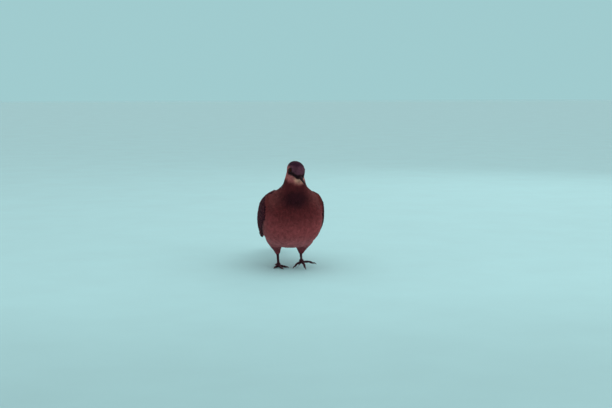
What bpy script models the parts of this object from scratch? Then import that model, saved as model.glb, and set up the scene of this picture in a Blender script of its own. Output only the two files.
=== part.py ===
"""Life-size still model of an oriental turtle dove, a bird of the pigeon family, walking with its head
turned to its left. Metres, +Z up; the bird faces -Y, its right side is towards -X, and it stands on z = 0."""

import math

import bmesh
import bpy
from mathutils import Matrix, Vector

MM = 0.001

# Driving dimensions, in millimetres.
CUT = 0.35  # gap between neighbouring pieces
HALF_WIDTH = 42.6  # of the trunk at the chest
HEAD_SIZE = (12.0, 16.5, 12.2)  # half width, half length, half height
HEAD_CENTRE = (2.4, -43.0, 143.0)
HEAD_TURN = 16.0  # degrees to the bird's left
HEAD_BOW = 19.5  # degrees below level
EYE_RADIUS = 4.3
EYE_HOLLOW = 1.1  # depth of the hollow round the eye
HOLLOW_RADIUS = 7.0  # of the ball that hollows the head round the eye
EYE_SPOT = (3.4, 1.6)  # ahead of and above the middle of the head
EYE_FACING = (0.97, 0.20, 0.08)  # the way each eye looks: outwards, ahead and up
EYE_WIDTH_SHARE = 0.955  # how far out the hollow starts, as a share of the head's half width
EYE_PROUD = 0.2  # of the eye's front above the bottom of the hollow
BILL_LENGTH = 16.0
BILL_ROOT_SHARE = 1.02  # where the bill starts, as a share of the head's half length
# Stations of the bill: (share of its length, height of the gape, half width, height of the
# upper half, depth of the lower half).
BILL_STATIONS = (
    (-0.40, -3.4, 2.7, 3.4, 1.9),  # inside the head
    (0.00, -4.5, 2.7, 3.3, 1.8),  # feathers end
    (0.25, -5.0, 2.4, 3.3, 1.7),  # over the nostrils
    (0.48, -5.5, 1.75, 2.2, 1.5),  # waist
    (0.74, -6.0, 1.65, 2.4, 1.3),
    (0.92, -6.7, 1.2, 2.0, 0.8),
)
BILL_TIP = (1.00, -7.2, 0.35, 0.6)  # length share, height, half width and height of the hooked end
BILL_FLATNESS = 0.12  # how far the flat side of each half bulges, as a share of its height
LOWER_BILL_WIDTH = 0.88  # as a share of the upper half's
BILL_SIDES = 12
WING_THICKNESS = 4.4
WING_EDGE = 0.9
TAIL_LENGTH = 99.0
TAIL_HALF_WIDTH = 20.0
TAIL_ROOT_HALF_WIDTH = 13.0
TAIL_WIDENS_TO = 0.75  # share of the length at which the fan is at its widest
TAIL_ROUNDED_FROM = 0.80  # share of the length from which its end is rounded
TAIL_ROUNDED_OVER = 0.215
TAIL_ROOT_THICKNESS = 3.6  # half of it
TAIL_TIP_THICKNESS = 1.0  # half of it
TAIL_ROUNDNESS = 2.6
TAIL_CAMBER = 2.4
TAIL_STEPS = 11
TAIL_SIDES = 16
TAIL_SLOPE = 15.0  # degrees below level
SHIFT_BACK = -60.7  # of the whole bird along Y, to centre its box on the origin
FLESH_VOXEL = 1.7
FLESH_TRIANGLES = 1960

# The cuts that part the trunk from the neck and the neck from the head.
NECK_CUT_SPOT = (0.0, -44.0, 114.0)
NECK_CUT_WAY = (0.0, -0.42, 0.91)
HEAD_CUT_SPOT = (0.0, -3.0, -12.6)  # right of, ahead of and above the middle of the head
HEAD_CUT_LEAN = 0.12

# The trunk and neck are hoops from the tail root to the crown end of the neck. Each is
# (top y, top z, bottom y, bottom z, half width, roundness above, roundness below).
HOOPS = (
    (96.0, 63.0, 96.0, 56.0, 12.5, 2.0, 2.0),  # tail root
    (80.0, 70.0, 84.0, 49.0, 19.0, 2.2, 2.0),  # tail coverts
    (58.0, 82.0, 62.0, 40.0, 28.5, 2.3, 2.0),  # rump
    (32.0, 96.0, 34.0, 33.0, 37.0, 2.4, 2.1),  # loin
    (6.0, 107.0, 4.0, 30.0, 0.98 * HALF_WIDTH, 2.5, 2.3),  # belly
    (-12.0, 112.0, -25.0, 33.5, HALF_WIDTH, 2.7, 2.35),  # chest
    (-22.0, 115.5, -49.0, 50.0, 0.95 * HALF_WIDTH, 2.8, 2.3),  # breast
    (-27.0, 118.0, -62.0, 75.0, 0.79 * HALF_WIDTH, 2.7, 2.2),  # crop
    (-29.0, 122.0, -61.5, 96.0, 25.0, 2.3, 2.2),  # neck foot
    (-30.0, 128.5, -58.0, 110.0, 17.2, 2.0, 2.0),  # lower neck
    (-31.5, 137.0, -55.5, 122.0, 14.2, 2.0, 2.0),  # upper neck
    (-34.0, 146.0, -52.0, 135.0, 11.0, 2.0, 2.0),  # inside the head
)
NECK_LEAN = 0.6  # how far the neck bends to the bird's left by its upper end
NECK_LEAN_FROM = 115.0  # height of the top of the hoop where the bend starts
NECK_LEAN_OVER = 22.0  # height over which it comes in
TRUNK_STEPS = 5  # hoops drawn for each one listed
TRUNK_SIDES = 40

# Head hoops along the line of the bill: (share of half length, share of half width,
# share of half height above, share of half height below, drop as a share of half height).
HEAD_HOOPS = (
    (-1.00, 0.10, 0.12, 0.12, 0.00),  # occiput
    (-0.86, 0.54, 0.54, 0.50, 0.00),
    (-0.50, 0.88, 0.87, 0.86, 0.00),
    (0.00, 1.00, 1.00, 0.96, 0.00),  # eyes
    (0.36, 0.91, 0.95, 0.88, 0.02),
    (0.66, 0.72, 0.80, 0.68, 0.12),
    (0.86, 0.52, 0.54, 0.50, 0.24),
    (1.00, 0.36, 0.32, 0.34, 0.34),
    (1.08, 0.26, 0.20, 0.24, 0.38),  # bill root
)
HEAD_STEPS = 4
HEAD_SIDES = 28
FLESH_SMOOTHING = 8  # rounds that take the steps off the joined body

# A folded wing lies on upright hoops from the wrist to the tip of the primaries. Each is
# (y, centre z, half width, half height, upper edge, lower edge), with the edges in
# degrees from straight up.
WING_HOOPS = (
    (-40.0, 88.0, 40.0, 32.0, 80.0, 92.0),
    (-37.0, 87.0, 41.6, 33.0, 64.0, 100.0),
    (-29.0, 84.0, 44.4, 35.0, 45.0, 107.0),
    (-14.0, 77.5, 46.4, 38.5, 27.0, 118.0),
    (10.0, 70.5, 46.2, 42.0, 16.0, 125.0),
    (34.0, 66.5, 41.5, 37.0, 10.0, 122.0),
    (62.0, 64.0, 33.5, 26.5, 9.0, 115.0),
    (90.0, 62.0, 24.5, 16.5, 12.0, 109.0),
    (117.0, 61.0, 17.5, 10.5, 24.0, 105.0),
    (142.0, 59.0, 11.5, 5.0, 50.0, 100.0),
)
WING_ROUNDNESS = 2.45
WING_STEPS = 2
WING_COUNT = 9  # points along each arc of a wing hoop
WING_DEEPEST = 0.6  # most of a hoop's half height that the wing may be thick
WING_SWELL = 0.6  # how fast the wing thickens in from its edges
PRIMARIES_CUT = (86.0, 62.0, 38.0)  # y, z and lean in degrees of the cut that parts them

# Legs: the right one carries the bird and the left one is being set down beside it.
# Each thigh is a run of (x, y, z, half width, half depth) down to where its feathers end.
STANCE_FOOT = (-15.0, 13.0, 4.3)
STANCE_THIGH = (
    (-21.0, 6.0, 54.0, 15.5, 19.0),
    (-20.5, 10.0, 40.0, 13.0, 14.0),
    (-18.2, 16.0, 30.0, 8.6, 10.0),
    (-15.9, 19.0, 22.5, 4.8, 5.2),
    (-15.2, 18.8, 17.0, 3.0, 3.2),
)
LEADING_FOOT = (16.6, 2.0, 10.4)
LEADING_THIGH = (
    (21.5, 8.0, 54.0, 16.0, 19.0),
    (21.0, 9.0, 42.0, 15.5, 17.0),
    (20.4, 11.0, 34.0, 13.2, 13.0),
    (19.6, 13.0, 28.5, 9.4, 9.4),
    (18.6, 14.0, 22.5, 5.2, 5.4),
    (17.8, 14.0, 17.4, 3.0, 3.2),
)
THIGH_STEPS = 3
THIGH_SIDES = 16
SHANK_RADIUS = 1.9
SHANK_SWELLS = ((0, 1.1), (0.2, 1.0), (0.55, 0.95), (0.85, 1.1), (1.0, 1.3))  # share down it, share of radius
FOOT_PAD_RADIUS = 4.6
FOOT_PAD_FLATTEN = 0.72
FOOT_PAD_DROP = 1.2  # below the middle of the foot
TOE_START = 5.4  # from the middle of the foot
TOE_DROP = 1.6  # of the toes' roots below the middle of the foot
TOE_STEPS = 8
TOE_LIFT = 0.6  # of the toe's end above its claw's tip
TOE_ROOT_HEIGHT = 0.84  # least height of the toe's root, as a share of its radius
TOE_FULLNESS = 0.97  # of its radius, before its pads and its taper
TOE_PADS = 0.1
TOE_TAPER = 0.18
CLAW_LENGTH = 5.5
CLAW_STEPS = 5
CLAW_ARCH = 1.0
CLAW_TIP_RADIUS = 0.25
CLAW_ROOT_SHARE = 0.62  # of the toe's radius
CLAW_THINNING = 0.8
# Toe tips beside each foot's middle: (name, x, y, height of the tip above the ground, arch, radius).
STANCE_TOES = (
    ("inner", 13.0, -15.5, 0.1, 0.1, 1.75),
    ("middle", 3.2, -27.0, 0.1, 0.1, 1.9),
    ("outer", -9.0, -18.0, 0.1, 0.1, 1.75),
    ("hind", -3.0, 15.5, 0.1, 0.1, 1.6),
)
LEADING_TOES = (
    ("inner", -14.0, -10.5, 0.1, 1.6, 1.75),
    ("middle", 3.0, -23.0, 0.1, 2.6, 1.9),
    ("outer", 21.0, -5.0, 5.0, 1.2, 1.75),
    ("hind", -2.0, 12.0, 0.1, 0.6, 1.6),
)

COLOURS = {
    "crown": (0.17, 0.12, 0.14),
    "plumage": (0.22, 0.10, 0.09),
    "wing": (0.10, 0.06, 0.05),
    "tail": (0.09, 0.07, 0.07),
    "bill": (0.035, 0.03, 0.035),
    "eye": (0.35, 0.09, 0.02),
    "leg": (0.22, 0.06, 0.07),
    "claw": (0.02, 0.018, 0.018),
}
ROUGHNESS = {"eye": 0.08, "bill": 0.4, "leg": 0.5, "claw": 0.35}
PLUMAGE_ROUGHNESS = 0.75


def clear_scene():
    for old in list(bpy.data.objects):
        bpy.data.objects.remove(old, do_unlink=True)


def make_material(name):
    material = bpy.data.materials.new(name)
    material.use_nodes = True
    shader = material.node_tree.nodes["Principled BSDF"]
    shader.inputs["Base Color"].default_value = (*COLOURS[name], 1.0)
    shader.inputs["Roughness"].default_value = ROUGHNESS.get(name, PLUMAGE_ROUGHNESS)
    return material


def object_from(bm, name, material=None):
    """A scene object made from bm, with its normals turned outwards."""
    bmesh.ops.recalc_face_normals(bm, faces=bm.faces[:])
    mesh = bpy.data.meshes.new(name)
    bm.to_mesh(mesh)
    bm.free()
    made = bpy.data.objects.new(name, mesh)
    bpy.context.scene.collection.objects.link(made)
    if material:
        mesh.materials.append(material)
        mesh.shade_smooth()
    return made


def smooth_run(rows, steps):
    """Rows of numbers joined by a Catmull-Rom curve, with this many steps between each two."""
    ends = [rows[0], *rows, rows[-1]]
    run = []
    for before, start, end, after in zip(ends, ends[1:], ends[2:], ends[3:]):
        for step in range(steps):
            t = step / steps
            weights = (
                (-t + 2 * t * t - t ** 3) / 2,
                (2 - 5 * t * t + 3 * t ** 3) / 2,
                (t + 4 * t * t - 3 * t ** 3) / 2,
                (t ** 3 - t * t) / 2,
            )
            columns = zip(before, start, end, after)
            run.append([sum(w * v for w, v in zip(weights, column)) for column in columns])
    run.append(list(rows[-1]))
    return run


def loft(rings, name, material=None):
    """A closed body through rings of points in millimetres, capped at both ends."""
    bm = bmesh.new()
    loops = [[bm.verts.new(Vector(point) * MM) for point in ring] for ring in rings]
    for near, far in zip(loops, loops[1:]):
        for i in range(len(near)):
            j = (i + 1) % len(near)
            bm.faces.new((near[i], near[j], far[j], far[i]))
    bm.faces.new(loops[0])
    bm.faces.new(loops[-1])
    return object_from(bm, name, material)


def round_power(value, roundness):
    return math.copysign(abs(value) ** (2 / roundness), value)


def hoop_ring(hoop, count, bend):
    """Points of one trunk hoop, which may lean in the Y-Z plane and is moved aside by bend."""
    top_y, top_z, bottom_y, bottom_z, half_width, above, below = hoop
    top, bottom = Vector((bend, top_y, top_z)), Vector((bend, bottom_y, bottom_z))
    centre, rise = (top + bottom) / 2, (top - bottom) / 2
    ring = []
    for i in range(count):
        angle = 2 * math.pi * i / count
        power = above if math.cos(angle) > 0 else below
        side = round_power(math.sin(angle), power) * half_width
        ring.append(centre + rise * round_power(math.cos(angle), power) + Vector((side, 0, 0)))
    return ring


def head_frame():
    """(middle of the head, its right, the way the bill points, up), in millimetres."""
    turn, bow = math.radians(HEAD_TURN), math.radians(HEAD_BOW)
    right = Vector((-math.cos(turn), -math.sin(turn), 0))
    ahead = Vector((math.sin(turn) * math.cos(bow), -math.cos(turn) * math.cos(bow), -math.sin(bow)))
    return Vector(HEAD_CENTRE), right, ahead, right.cross(ahead)


def head_ring(hoop, count):
    along, wide, above, below, drop = hoop
    centre, right, ahead, up = head_frame()
    half_width, half_length, half_height = HEAD_SIZE
    middle = centre + ahead * along * half_length - up * drop * half_height
    ring = []
    for i in range(count):
        angle = 2 * math.pi * i / count
        height = (above if math.cos(angle) > 0 else below) * half_height
        ring.append(middle + right * math.sin(angle) * wide * half_width + up * math.cos(angle) * height)
    return ring


def only(target):
    """Makes target the one selected, active object."""
    bpy.ops.object.select_all(action="DESELECT")
    target.select_set(True)
    bpy.context.view_layer.objects.active = target


def apply_modifier(target, kind, **settings):
    only(target)
    modifier = target.modifiers.new(kind.title(), kind)
    for key, value in settings.items():
        setattr(modifier, key, value)
    bpy.ops.object.modifier_apply(modifier=modifier.name)


def boolean(target, other, operation):
    apply_modifier(target, "BOOLEAN", object=other, operation=operation, solver="EXACT")


def copy_of(source, name, material=None):
    made = bpy.data.objects.new(name, source.data.copy())
    bpy.context.scene.collection.objects.link(made)
    if material:
        made.data.materials.clear()
        made.data.materials.append(material)
        made.data.shade_smooth()
    return made


def grown(source, by):
    """A copy of source with its skin moved out by this many millimetres, to cut room with."""
    made = copy_of(source, source.name + "_room")
    bm = bmesh.new()
    bm.from_mesh(made.data)
    bm.normal_update()
    for vertex in bm.verts:
        vertex.co += vertex.normal * by * MM
    bm.to_mesh(made.data)
    bm.free()
    return made


def remove(*objects):
    for item in objects:
        bpy.data.objects.remove(item, do_unlink=True)


def keep_above(target, point, normal):
    """Cuts target with a plane, keeps the side that normal points to and closes the cut."""
    bm = bmesh.new()
    bm.from_mesh(target.data)
    cut = bmesh.ops.bisect_plane(
        bm,
        geom=bm.verts[:] + bm.edges[:] + bm.faces[:],
        plane_co=Vector(point) * MM,
        plane_no=Vector(normal),
        clear_inner=True,
        dist=1e-7,
    )
    rim = [item for item in cut["geom_cut"] if isinstance(item, bmesh.types.BMEdge)]
    if rim:
        bmesh.ops.holes_fill(bm, edges=rim, sides=0)
    bmesh.ops.recalc_face_normals(bm, faces=bm.faces[:])
    bm.to_mesh(target.data)
    bm.free()


def part_at(target, point, normal, upper_name, lower_name, materials):
    """Parts target into two pieces at a plane, with half the gap on each side."""
    normal = Vector(normal).normalized()
    pieces = []
    for name, material, way in ((upper_name, materials[0], 1), (lower_name, materials[1], -1)):
        piece = copy_of(target, name, material)
        keep_above(piece, Vector(point) + normal * way * CUT / 2, normal * way)
        pieces.append(piece)
    remove(target)
    return pieces


def settle(name):
    """Gives every piece its own origin, in the middle of its box, under one empty that places the bird."""
    stand = bpy.data.objects.new(name, None)
    bpy.context.scene.collection.objects.link(stand)
    stand.location.y = SHIFT_BACK * MM
    for piece in bpy.data.objects:
        if piece.type == "MESH":
            middle = sum((Vector(corner) for corner in piece.bound_box), Vector()) / 8
            piece.data.transform(Matrix.Translation(-middle))
            piece.data.shade_smooth()
            piece.location = middle
            piece.parent = stand


def make_flesh():
    """Trunk, neck and head as one smooth body."""
    rings = []
    for hoop in smooth_run(HOOPS, TRUNK_STEPS):
        bend = NECK_LEAN * min(1.0, max(0.0, (hoop[1] - NECK_LEAN_FROM) / NECK_LEAN_OVER))
        rings.append(hoop_ring(hoop, TRUNK_SIDES, bend))
    trunk = loft(rings, "flesh")
    head = loft([head_ring(hoop, HEAD_SIDES) for hoop in smooth_run(HEAD_HOOPS, HEAD_STEPS)], "head_form")
    boolean(trunk, head, "UNION")
    remove(head)
    apply_modifier(trunk, "REMESH", mode="VOXEL", voxel_size=FLESH_VOXEL * MM)
    apply_modifier(trunk, "SMOOTH", factor=0.5, iterations=FLESH_SMOOTHING)
    triangles = sum(len(face.vertices) - 2 for face in trunk.data.polygons)
    apply_modifier(trunk, "DECIMATE", ratio=FLESH_TRIANGLES / triangles)
    return trunk


def wing_ring(hoop, side, count):
    """One cross-section of a wing: its outer arc from upper to lower edge, then its inner arc back."""
    y, centre_z, half_width, half_height, upper, lower = hoop
    outer, inner = [], []
    for i in range(count):
        share = i / (count - 1)
        angle = math.radians(upper + (lower - upper) * share)
        thick = WING_EDGE + (WING_THICKNESS - WING_EDGE) * math.sin(math.pi * share) ** WING_SWELL
        for arc, depth in ((outer, 0.0), (inner, thick)):
            depth = min(depth, WING_DEEPEST * half_height)
            x = round_power(math.sin(angle), WING_ROUNDNESS) * (half_width - depth)
            z = round_power(math.cos(angle), WING_ROUNDNESS) * (half_height - depth)
            arc.append(Vector((side * x, y, centre_z + z)))
    return outer + inner[::-1]


def make_wing(side, word, flesh_room, materials):
    run = smooth_run(WING_HOOPS, WING_STEPS)
    wing = loft([wing_ring(hoop, side, WING_COUNT) for hoop in run], "wing_form_" + word)
    boolean(wing, flesh_room, "DIFFERENCE")
    y, z, lean = PRIMARIES_CUT
    normal = (0, math.cos(math.radians(lean)), -math.sin(math.radians(lean)))
    return part_at(wing, (0, y, z), normal, "primaries_" + word, "wing_" + word, materials)


def make_tail(material):
    """The folded fan of tail feathers, sloping down from the tail root and rounded at its end."""
    root_y, root_top, _, root_bottom = HOOPS[0][:4]
    slope = math.radians(TAIL_SLOPE)
    rings = []
    for step in range(TAIL_STEPS + 1):
        share = step / TAIL_STEPS
        along = TAIL_LENGTH * share
        widening = min(1.0, share / TAIL_WIDENS_TO)
        wide = TAIL_ROOT_HALF_WIDTH + (TAIL_HALF_WIDTH - TAIL_ROOT_HALF_WIDTH) * widening
        rounding = max(0.0, (share - TAIL_ROUNDED_FROM) / TAIL_ROUNDED_OVER)
        wide *= math.sqrt(max(0.0, 1 - rounding ** TAIL_ROUNDNESS))
        thick = TAIL_ROOT_THICKNESS + (TAIL_TIP_THICKNESS - TAIL_ROOT_THICKNESS) * share
        centre = Vector((0, root_y + CUT + along * math.cos(slope), (root_top + root_bottom) / 2))
        centre.z -= along * math.sin(slope)
        ring = []
        for i in range(TAIL_SIDES):
            angle = 2 * math.pi * i / TAIL_SIDES
            x = wide * round_power(math.sin(angle), TAIL_ROUNDNESS)
            camber = TAIL_CAMBER * (1 - (x / TAIL_HALF_WIDTH) ** 2)
            ring.append(centre + Vector((x, 0, camber + thick * math.cos(angle))))
        rings.append(ring)
    return loft(rings, "tail", material)


def ball(centre, radius, name, material=None, segments=16, flatten=(1, 1, 1)):
    bm = bmesh.new()
    bmesh.ops.create_uvsphere(bm, u_segments=segments, v_segments=segments // 2, radius=radius * MM)
    bmesh.ops.scale(bm, vec=flatten, verts=bm.verts)
    bmesh.ops.translate(bm, vec=Vector(centre) * MM, verts=bm.verts)
    return object_from(bm, name, material)


def place_on_head(right, ahead, up):
    centre, right_way, ahead_way, up_way = head_frame()
    return centre + right_way * right + ahead_way * ahead + up_way * up


def make_eyes(head, material):
    """Each eye is a ball in a shallow hollow, flush with the side of the head."""
    _, right, ahead, up = head_frame()
    outwards, onwards, upwards = EYE_FACING
    for side, word in ((1, "right"), (-1, "left")):
        out = (right * side * outwards + ahead * onwards + up * upwards).normalized()
        surface = place_on_head(side * EYE_WIDTH_SHARE * HEAD_SIZE[0], *EYE_SPOT)
        hollow = ball(surface + out * (HOLLOW_RADIUS - EYE_HOLLOW), HOLLOW_RADIUS, "hollow", segments=32)
        spot = surface + out * (EYE_PROUD - EYE_RADIUS)
        socket = ball(spot, EYE_RADIUS + CUT, "socket", segments=24)
        for cutter in (hollow, socket):
            boolean(head, cutter, "DIFFERENCE")
        remove(hollow, socket)
        ball(spot, EYE_RADIUS, "eye_" + word, material)


def bill_half(name, stations, way, head_room, material):
    """One mandible, arched to the side that way gives and nearly flat on the other, from
    stations of (distance ahead, height of the flat side, half width, depth)."""
    _, right, _, up = head_frame()
    rings = []
    for ahead, height, wide, high in smooth_run(stations, 2):
        middle = place_on_head(0, ahead, height)
        ring = []
        for i in range(BILL_SIDES):
            angle = 2 * math.pi * i / BILL_SIDES
            arch = math.cos(angle) * high * (1.0 if math.cos(angle) > 0 else BILL_FLATNESS)
            lift = up * way * (arch + BILL_FLATNESS * high)
            ring.append(middle + right * wide * math.sin(angle) + lift)
        rings.append(ring)
    half = loft(rings, name, material)
    boolean(half, head_room, "DIFFERENCE")


def make_bill(head, material):
    """Both mandibles follow one gape line; the upper has a swollen soft base and a bent tip."""
    root = BILL_ROOT_SHARE * HEAD_SIZE[1]
    upper, lower = [], []
    for share, gape, wide, high, deep in BILL_STATIONS:
        ahead = root + share * BILL_LENGTH
        upper.append((ahead, gape + CUT / 2, wide, high))
        lower.append((ahead, gape - CUT / 2, LOWER_BILL_WIDTH * wide, deep))
    share, height, wide, high = BILL_TIP
    upper.append((root + share * BILL_LENGTH, height, wide, high))
    room = grown(head, CUT)
    bill_half("bill_upper", upper, 1, room, material)
    bill_half("bill_lower", lower, -1, room, material)
    remove(room)


def tube(path, name, material, sides=10, first_way=None, last_way=None):
    """A closed tube along (point, radius) pairs, its rings square to the path and untwisted."""
    rings = []
    points = [Vector(point) for point, _ in path]
    ways = [points[min(i + 1, len(points) - 1)] - points[max(i - 1, 0)] for i in range(len(points))]
    ways[0], ways[-1] = first_way or ways[0], last_way or ways[-1]
    across = ways[0].orthogonal()
    for point, way, (_, radius) in zip(points, ways, path):
        over = across.cross(way).normalized()
        across = way.cross(over).normalized()
        angles = [2 * math.pi * k / sides for k in range(sides)]
        rings.append([point + (across * math.cos(a) + over * math.sin(a)) * radius for a in angles])
    return loft(rings, name, material)


def make_thigh(stations, word, flesh_room, material):
    rings = []
    for x, y, z, wide, deep in smooth_run(stations, THIGH_STEPS):
        angles = [2 * math.pi * i / THIGH_SIDES for i in range(THIGH_SIDES)]
        rings.append([Vector((x + wide * math.cos(a), y + deep * math.sin(a), z)) for a in angles])
    thigh = loft(rings, "thigh_" + word, material)
    boolean(thigh, flesh_room, "DIFFERENCE")


def make_shank(foot, thigh, word, material):
    """The bare shank, from just under the thigh's feathers to the pad under the toes."""
    top, middle = Vector(thigh[-1][:3]) - Vector((0, 0, CUT)), Vector(foot)
    path = [(top.lerp(middle, share), SHANK_RADIUS * swell) for share, swell in SHANK_SWELLS]
    shank = tube(path, "shank_" + word, material, first_way=Vector((0, 0, -1)))
    spot = middle - Vector((0, 0, FOOT_PAD_DROP))
    pad = ball(spot, FOOT_PAD_RADIUS, "pad", segments=14, flatten=(1, 1, FOOT_PAD_FLATTEN))
    boolean(shank, pad, "UNION")
    remove(pad)
    keep_above(shank, (0, 0, 0), (0, 0, 1))


def make_toes(foot, toes, word, materials):
    """Jointed toes with a swelling at each pad, and a curved claw at the end of each."""
    for name, x, y, tip_z, arch, radius in toes:
        middle = Vector(foot) - Vector((0, 0, TOE_DROP))
        tip = Vector((foot[0] + x, foot[1] + y, tip_z))
        way = (tip - middle).normalized()
        start, nail = middle + way * TOE_START, tip - way * CLAW_LENGTH
        start.z = max(start.z, TOE_ROOT_HEIGHT * radius)
        nail.z = max(nail.z + TOE_LIFT, CLAW_ROOT_SHARE * radius)
        path = []
        for step in range(TOE_STEPS + 1):
            share = step / TOE_STEPS
            point = start.lerp(nail, share)
            point.z += arch * math.sin(math.pi * share)
            swell = TOE_FULLNESS - TOE_PADS * math.cos(4 * math.pi * share) - TOE_TAPER * share
            path.append((point, radius * swell))
        turn = nail - path[-3][0]
        toe = tube(path, f"toe_{word}_{name}", materials[0], sides=8, last_way=turn)
        keep_above(toe, (0, 0, 0), (0, 0, 1))
        root = nail + turn.normalized() * CUT
        claw = []
        for step in range(CLAW_STEPS + 1):
            share = step / CLAW_STEPS
            point = root.lerp(tip, share)
            point.z += CLAW_ARCH * math.sin(math.pi * share)
            thinning = (1 - share) ** CLAW_THINNING
            claw.append((point, CLAW_TIP_RADIUS + CLAW_ROOT_SHARE * radius * thinning))
        nail_piece = tube(claw, f"claw_{word}_{name}", materials[1], sides=6, first_way=turn)
        keep_above(nail_piece, (0, 0, 0), (0, 0, 1))


def main():
    clear_scene()
    paint = {name: make_material(name) for name in COLOURS}
    flesh = make_flesh()
    flesh_room = grown(flesh, CUT)
    for side, word in ((-1, "right"), (1, "left")):
        make_wing(side, word, flesh_room, (paint["wing"], paint["wing"]))
    make_thigh(STANCE_THIGH, "right", flesh_room, paint["plumage"])
    make_thigh(LEADING_THIGH, "left", flesh_room, paint["plumage"])
    remove(flesh_room)
    materials = (paint["plumage"], paint["plumage"])
    upper, _ = part_at(flesh, NECK_CUT_SPOT, NECK_CUT_WAY, "upper", "trunk", materials)
    _, _, ahead, up = head_frame()
    chin = place_on_head(*HEAD_CUT_SPOT)
    materials = (paint["crown"], paint["plumage"])
    head, _ = part_at(upper, chin, up - ahead * HEAD_CUT_LEAN, "head", "neck", materials)
    make_eyes(head, paint["eye"])
    make_bill(head, paint["bill"])
    make_tail(paint["tail"])
    for foot, thigh, toes, word in (
        (STANCE_FOOT, STANCE_THIGH, STANCE_TOES, "right"),
        (LEADING_FOOT, LEADING_THIGH, LEADING_TOES, "left"),
    ):
        make_shank(foot, thigh, word, paint["leg"])
        make_toes(foot, toes, word, (paint["leg"], paint["claw"]))
    settle("dove")


main()
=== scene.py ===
import math
from contextlib import contextmanager

import bpy
import numpy as np
from mathutils import Matrix, Vector
from mathutils.bvhtree import BVHTree
from mathutils.kdtree import KDTree


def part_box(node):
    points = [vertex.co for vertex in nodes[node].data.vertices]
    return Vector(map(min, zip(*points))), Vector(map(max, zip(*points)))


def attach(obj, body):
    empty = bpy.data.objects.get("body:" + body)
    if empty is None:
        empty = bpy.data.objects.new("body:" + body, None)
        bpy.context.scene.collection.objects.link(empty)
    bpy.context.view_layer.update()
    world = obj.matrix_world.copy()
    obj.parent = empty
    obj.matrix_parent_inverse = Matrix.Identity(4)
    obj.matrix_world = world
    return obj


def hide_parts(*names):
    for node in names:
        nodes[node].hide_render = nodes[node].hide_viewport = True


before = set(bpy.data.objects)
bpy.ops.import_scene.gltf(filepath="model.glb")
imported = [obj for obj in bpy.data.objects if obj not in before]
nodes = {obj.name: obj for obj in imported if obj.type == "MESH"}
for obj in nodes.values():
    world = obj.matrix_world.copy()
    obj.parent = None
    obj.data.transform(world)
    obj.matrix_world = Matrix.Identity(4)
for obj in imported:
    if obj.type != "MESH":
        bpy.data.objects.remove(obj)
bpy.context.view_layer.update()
mm = 0.001
sides = {"right": -1, "left": 1}  # the bird's own sides, along X
toeNames = ("inner", "middle", "outer", "hind")

headBuild = {
    "billPitch": 15.7,  # degrees from the line of the skull down to the bill's tip
    "billRoot": (0, 14.5, -5.5),  # mm right, ahead and up from between the eyes
}


# places on the bird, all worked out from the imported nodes
def boxOf(*names):
    corners = np.array([tuple(corner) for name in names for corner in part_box(name)])
    return Vector(corners.min(axis=0)), Vector(corners.max(axis=0))


def middleOf(*names):
    low, high = boxOf(*names)
    return (low + high) / 2


trunkLow, trunkHigh = boxOf("trunk")
eyeMiddle = (middleOf("eye_right") + middleOf("eye_left")) / 2
headRight = (middleOf("eye_right") - middleOf("eye_left")).normalized()
billPoints = [Vector(point.co) for point in nodes["bill_upper"].data.vertices]
billTip = max(billPoints, key=lambda point: (point - eyeMiddle).length)
skullLine = (billTip - eyeMiddle) - headRight * (billTip - eyeMiddle).dot(headRight)
skullLine.normalize()
headAhead = Matrix.Rotation(math.radians(headBuild["billPitch"]), 3, headRight) @ skullLine
headAhead.normalize()
headUp = headRight.cross(headAhead)
headTurn = Matrix((headRight, headAhead, headUp)).transposed()  # head axes as columns


def onHead(right, ahead, up):
    return eyeMiddle + (headRight * right + headAhead * ahead + headUp * up) * mm


def onTrunk(across, back, high):
    spread = trunkHigh - trunkLow
    return Vector((across * spread.x / 2, trunkLow.y + back * spread.y, trunkLow.z + high * spread.z))


billRoot = onHead(*headBuild["billRoot"])
print("eyes' middle", eyeMiddle[:], "bill tip", billTip[:])


def pick(*pieces):
    # the first is the active one
    bpy.ops.object.select_all(action="DESELECT")
    for piece in pieces:
        piece.select_set(True)
    bpy.context.view_layer.objects.active = pieces[0]


@contextmanager
def editing(piece, test=None):
    # edit mode with every point picked, or those that pass the test
    pick(piece)
    bpy.ops.object.mode_set(mode="EDIT")
    bpy.ops.mesh.select_mode(type="VERT")
    bpy.ops.mesh.select_all(action="DESELECT" if test else "SELECT")
    if test:
        bpy.ops.object.mode_set(mode="OBJECT")
        for point in piece.data.vertices:
            point.select = test(point.co)
        bpy.ops.object.mode_set(mode="EDIT")
    yield
    bpy.ops.object.mode_set(mode="OBJECT")


def newPiece(title, add, **settings):
    bpy.ops.object.select_all(action="DESELECT")
    add(**settings)
    made = bpy.context.object
    made.name = made.data.name = title
    return made


def applyModifier(piece, kind, **settings):
    pick(piece)
    made = piece.modifiers.new(kind.title(), kind)
    for key, value in settings.items():
        setattr(made, key, value)
    bpy.ops.object.modifier_apply(modifier=made.name)


def dress(piece, material, slot, *names):
    # a finished piece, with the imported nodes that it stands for
    pick(piece)
    bpy.ops.object.shade_smooth()
    piece.data.materials.append(material)
    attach(piece, "root")
    if names:
        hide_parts(*names)


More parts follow.
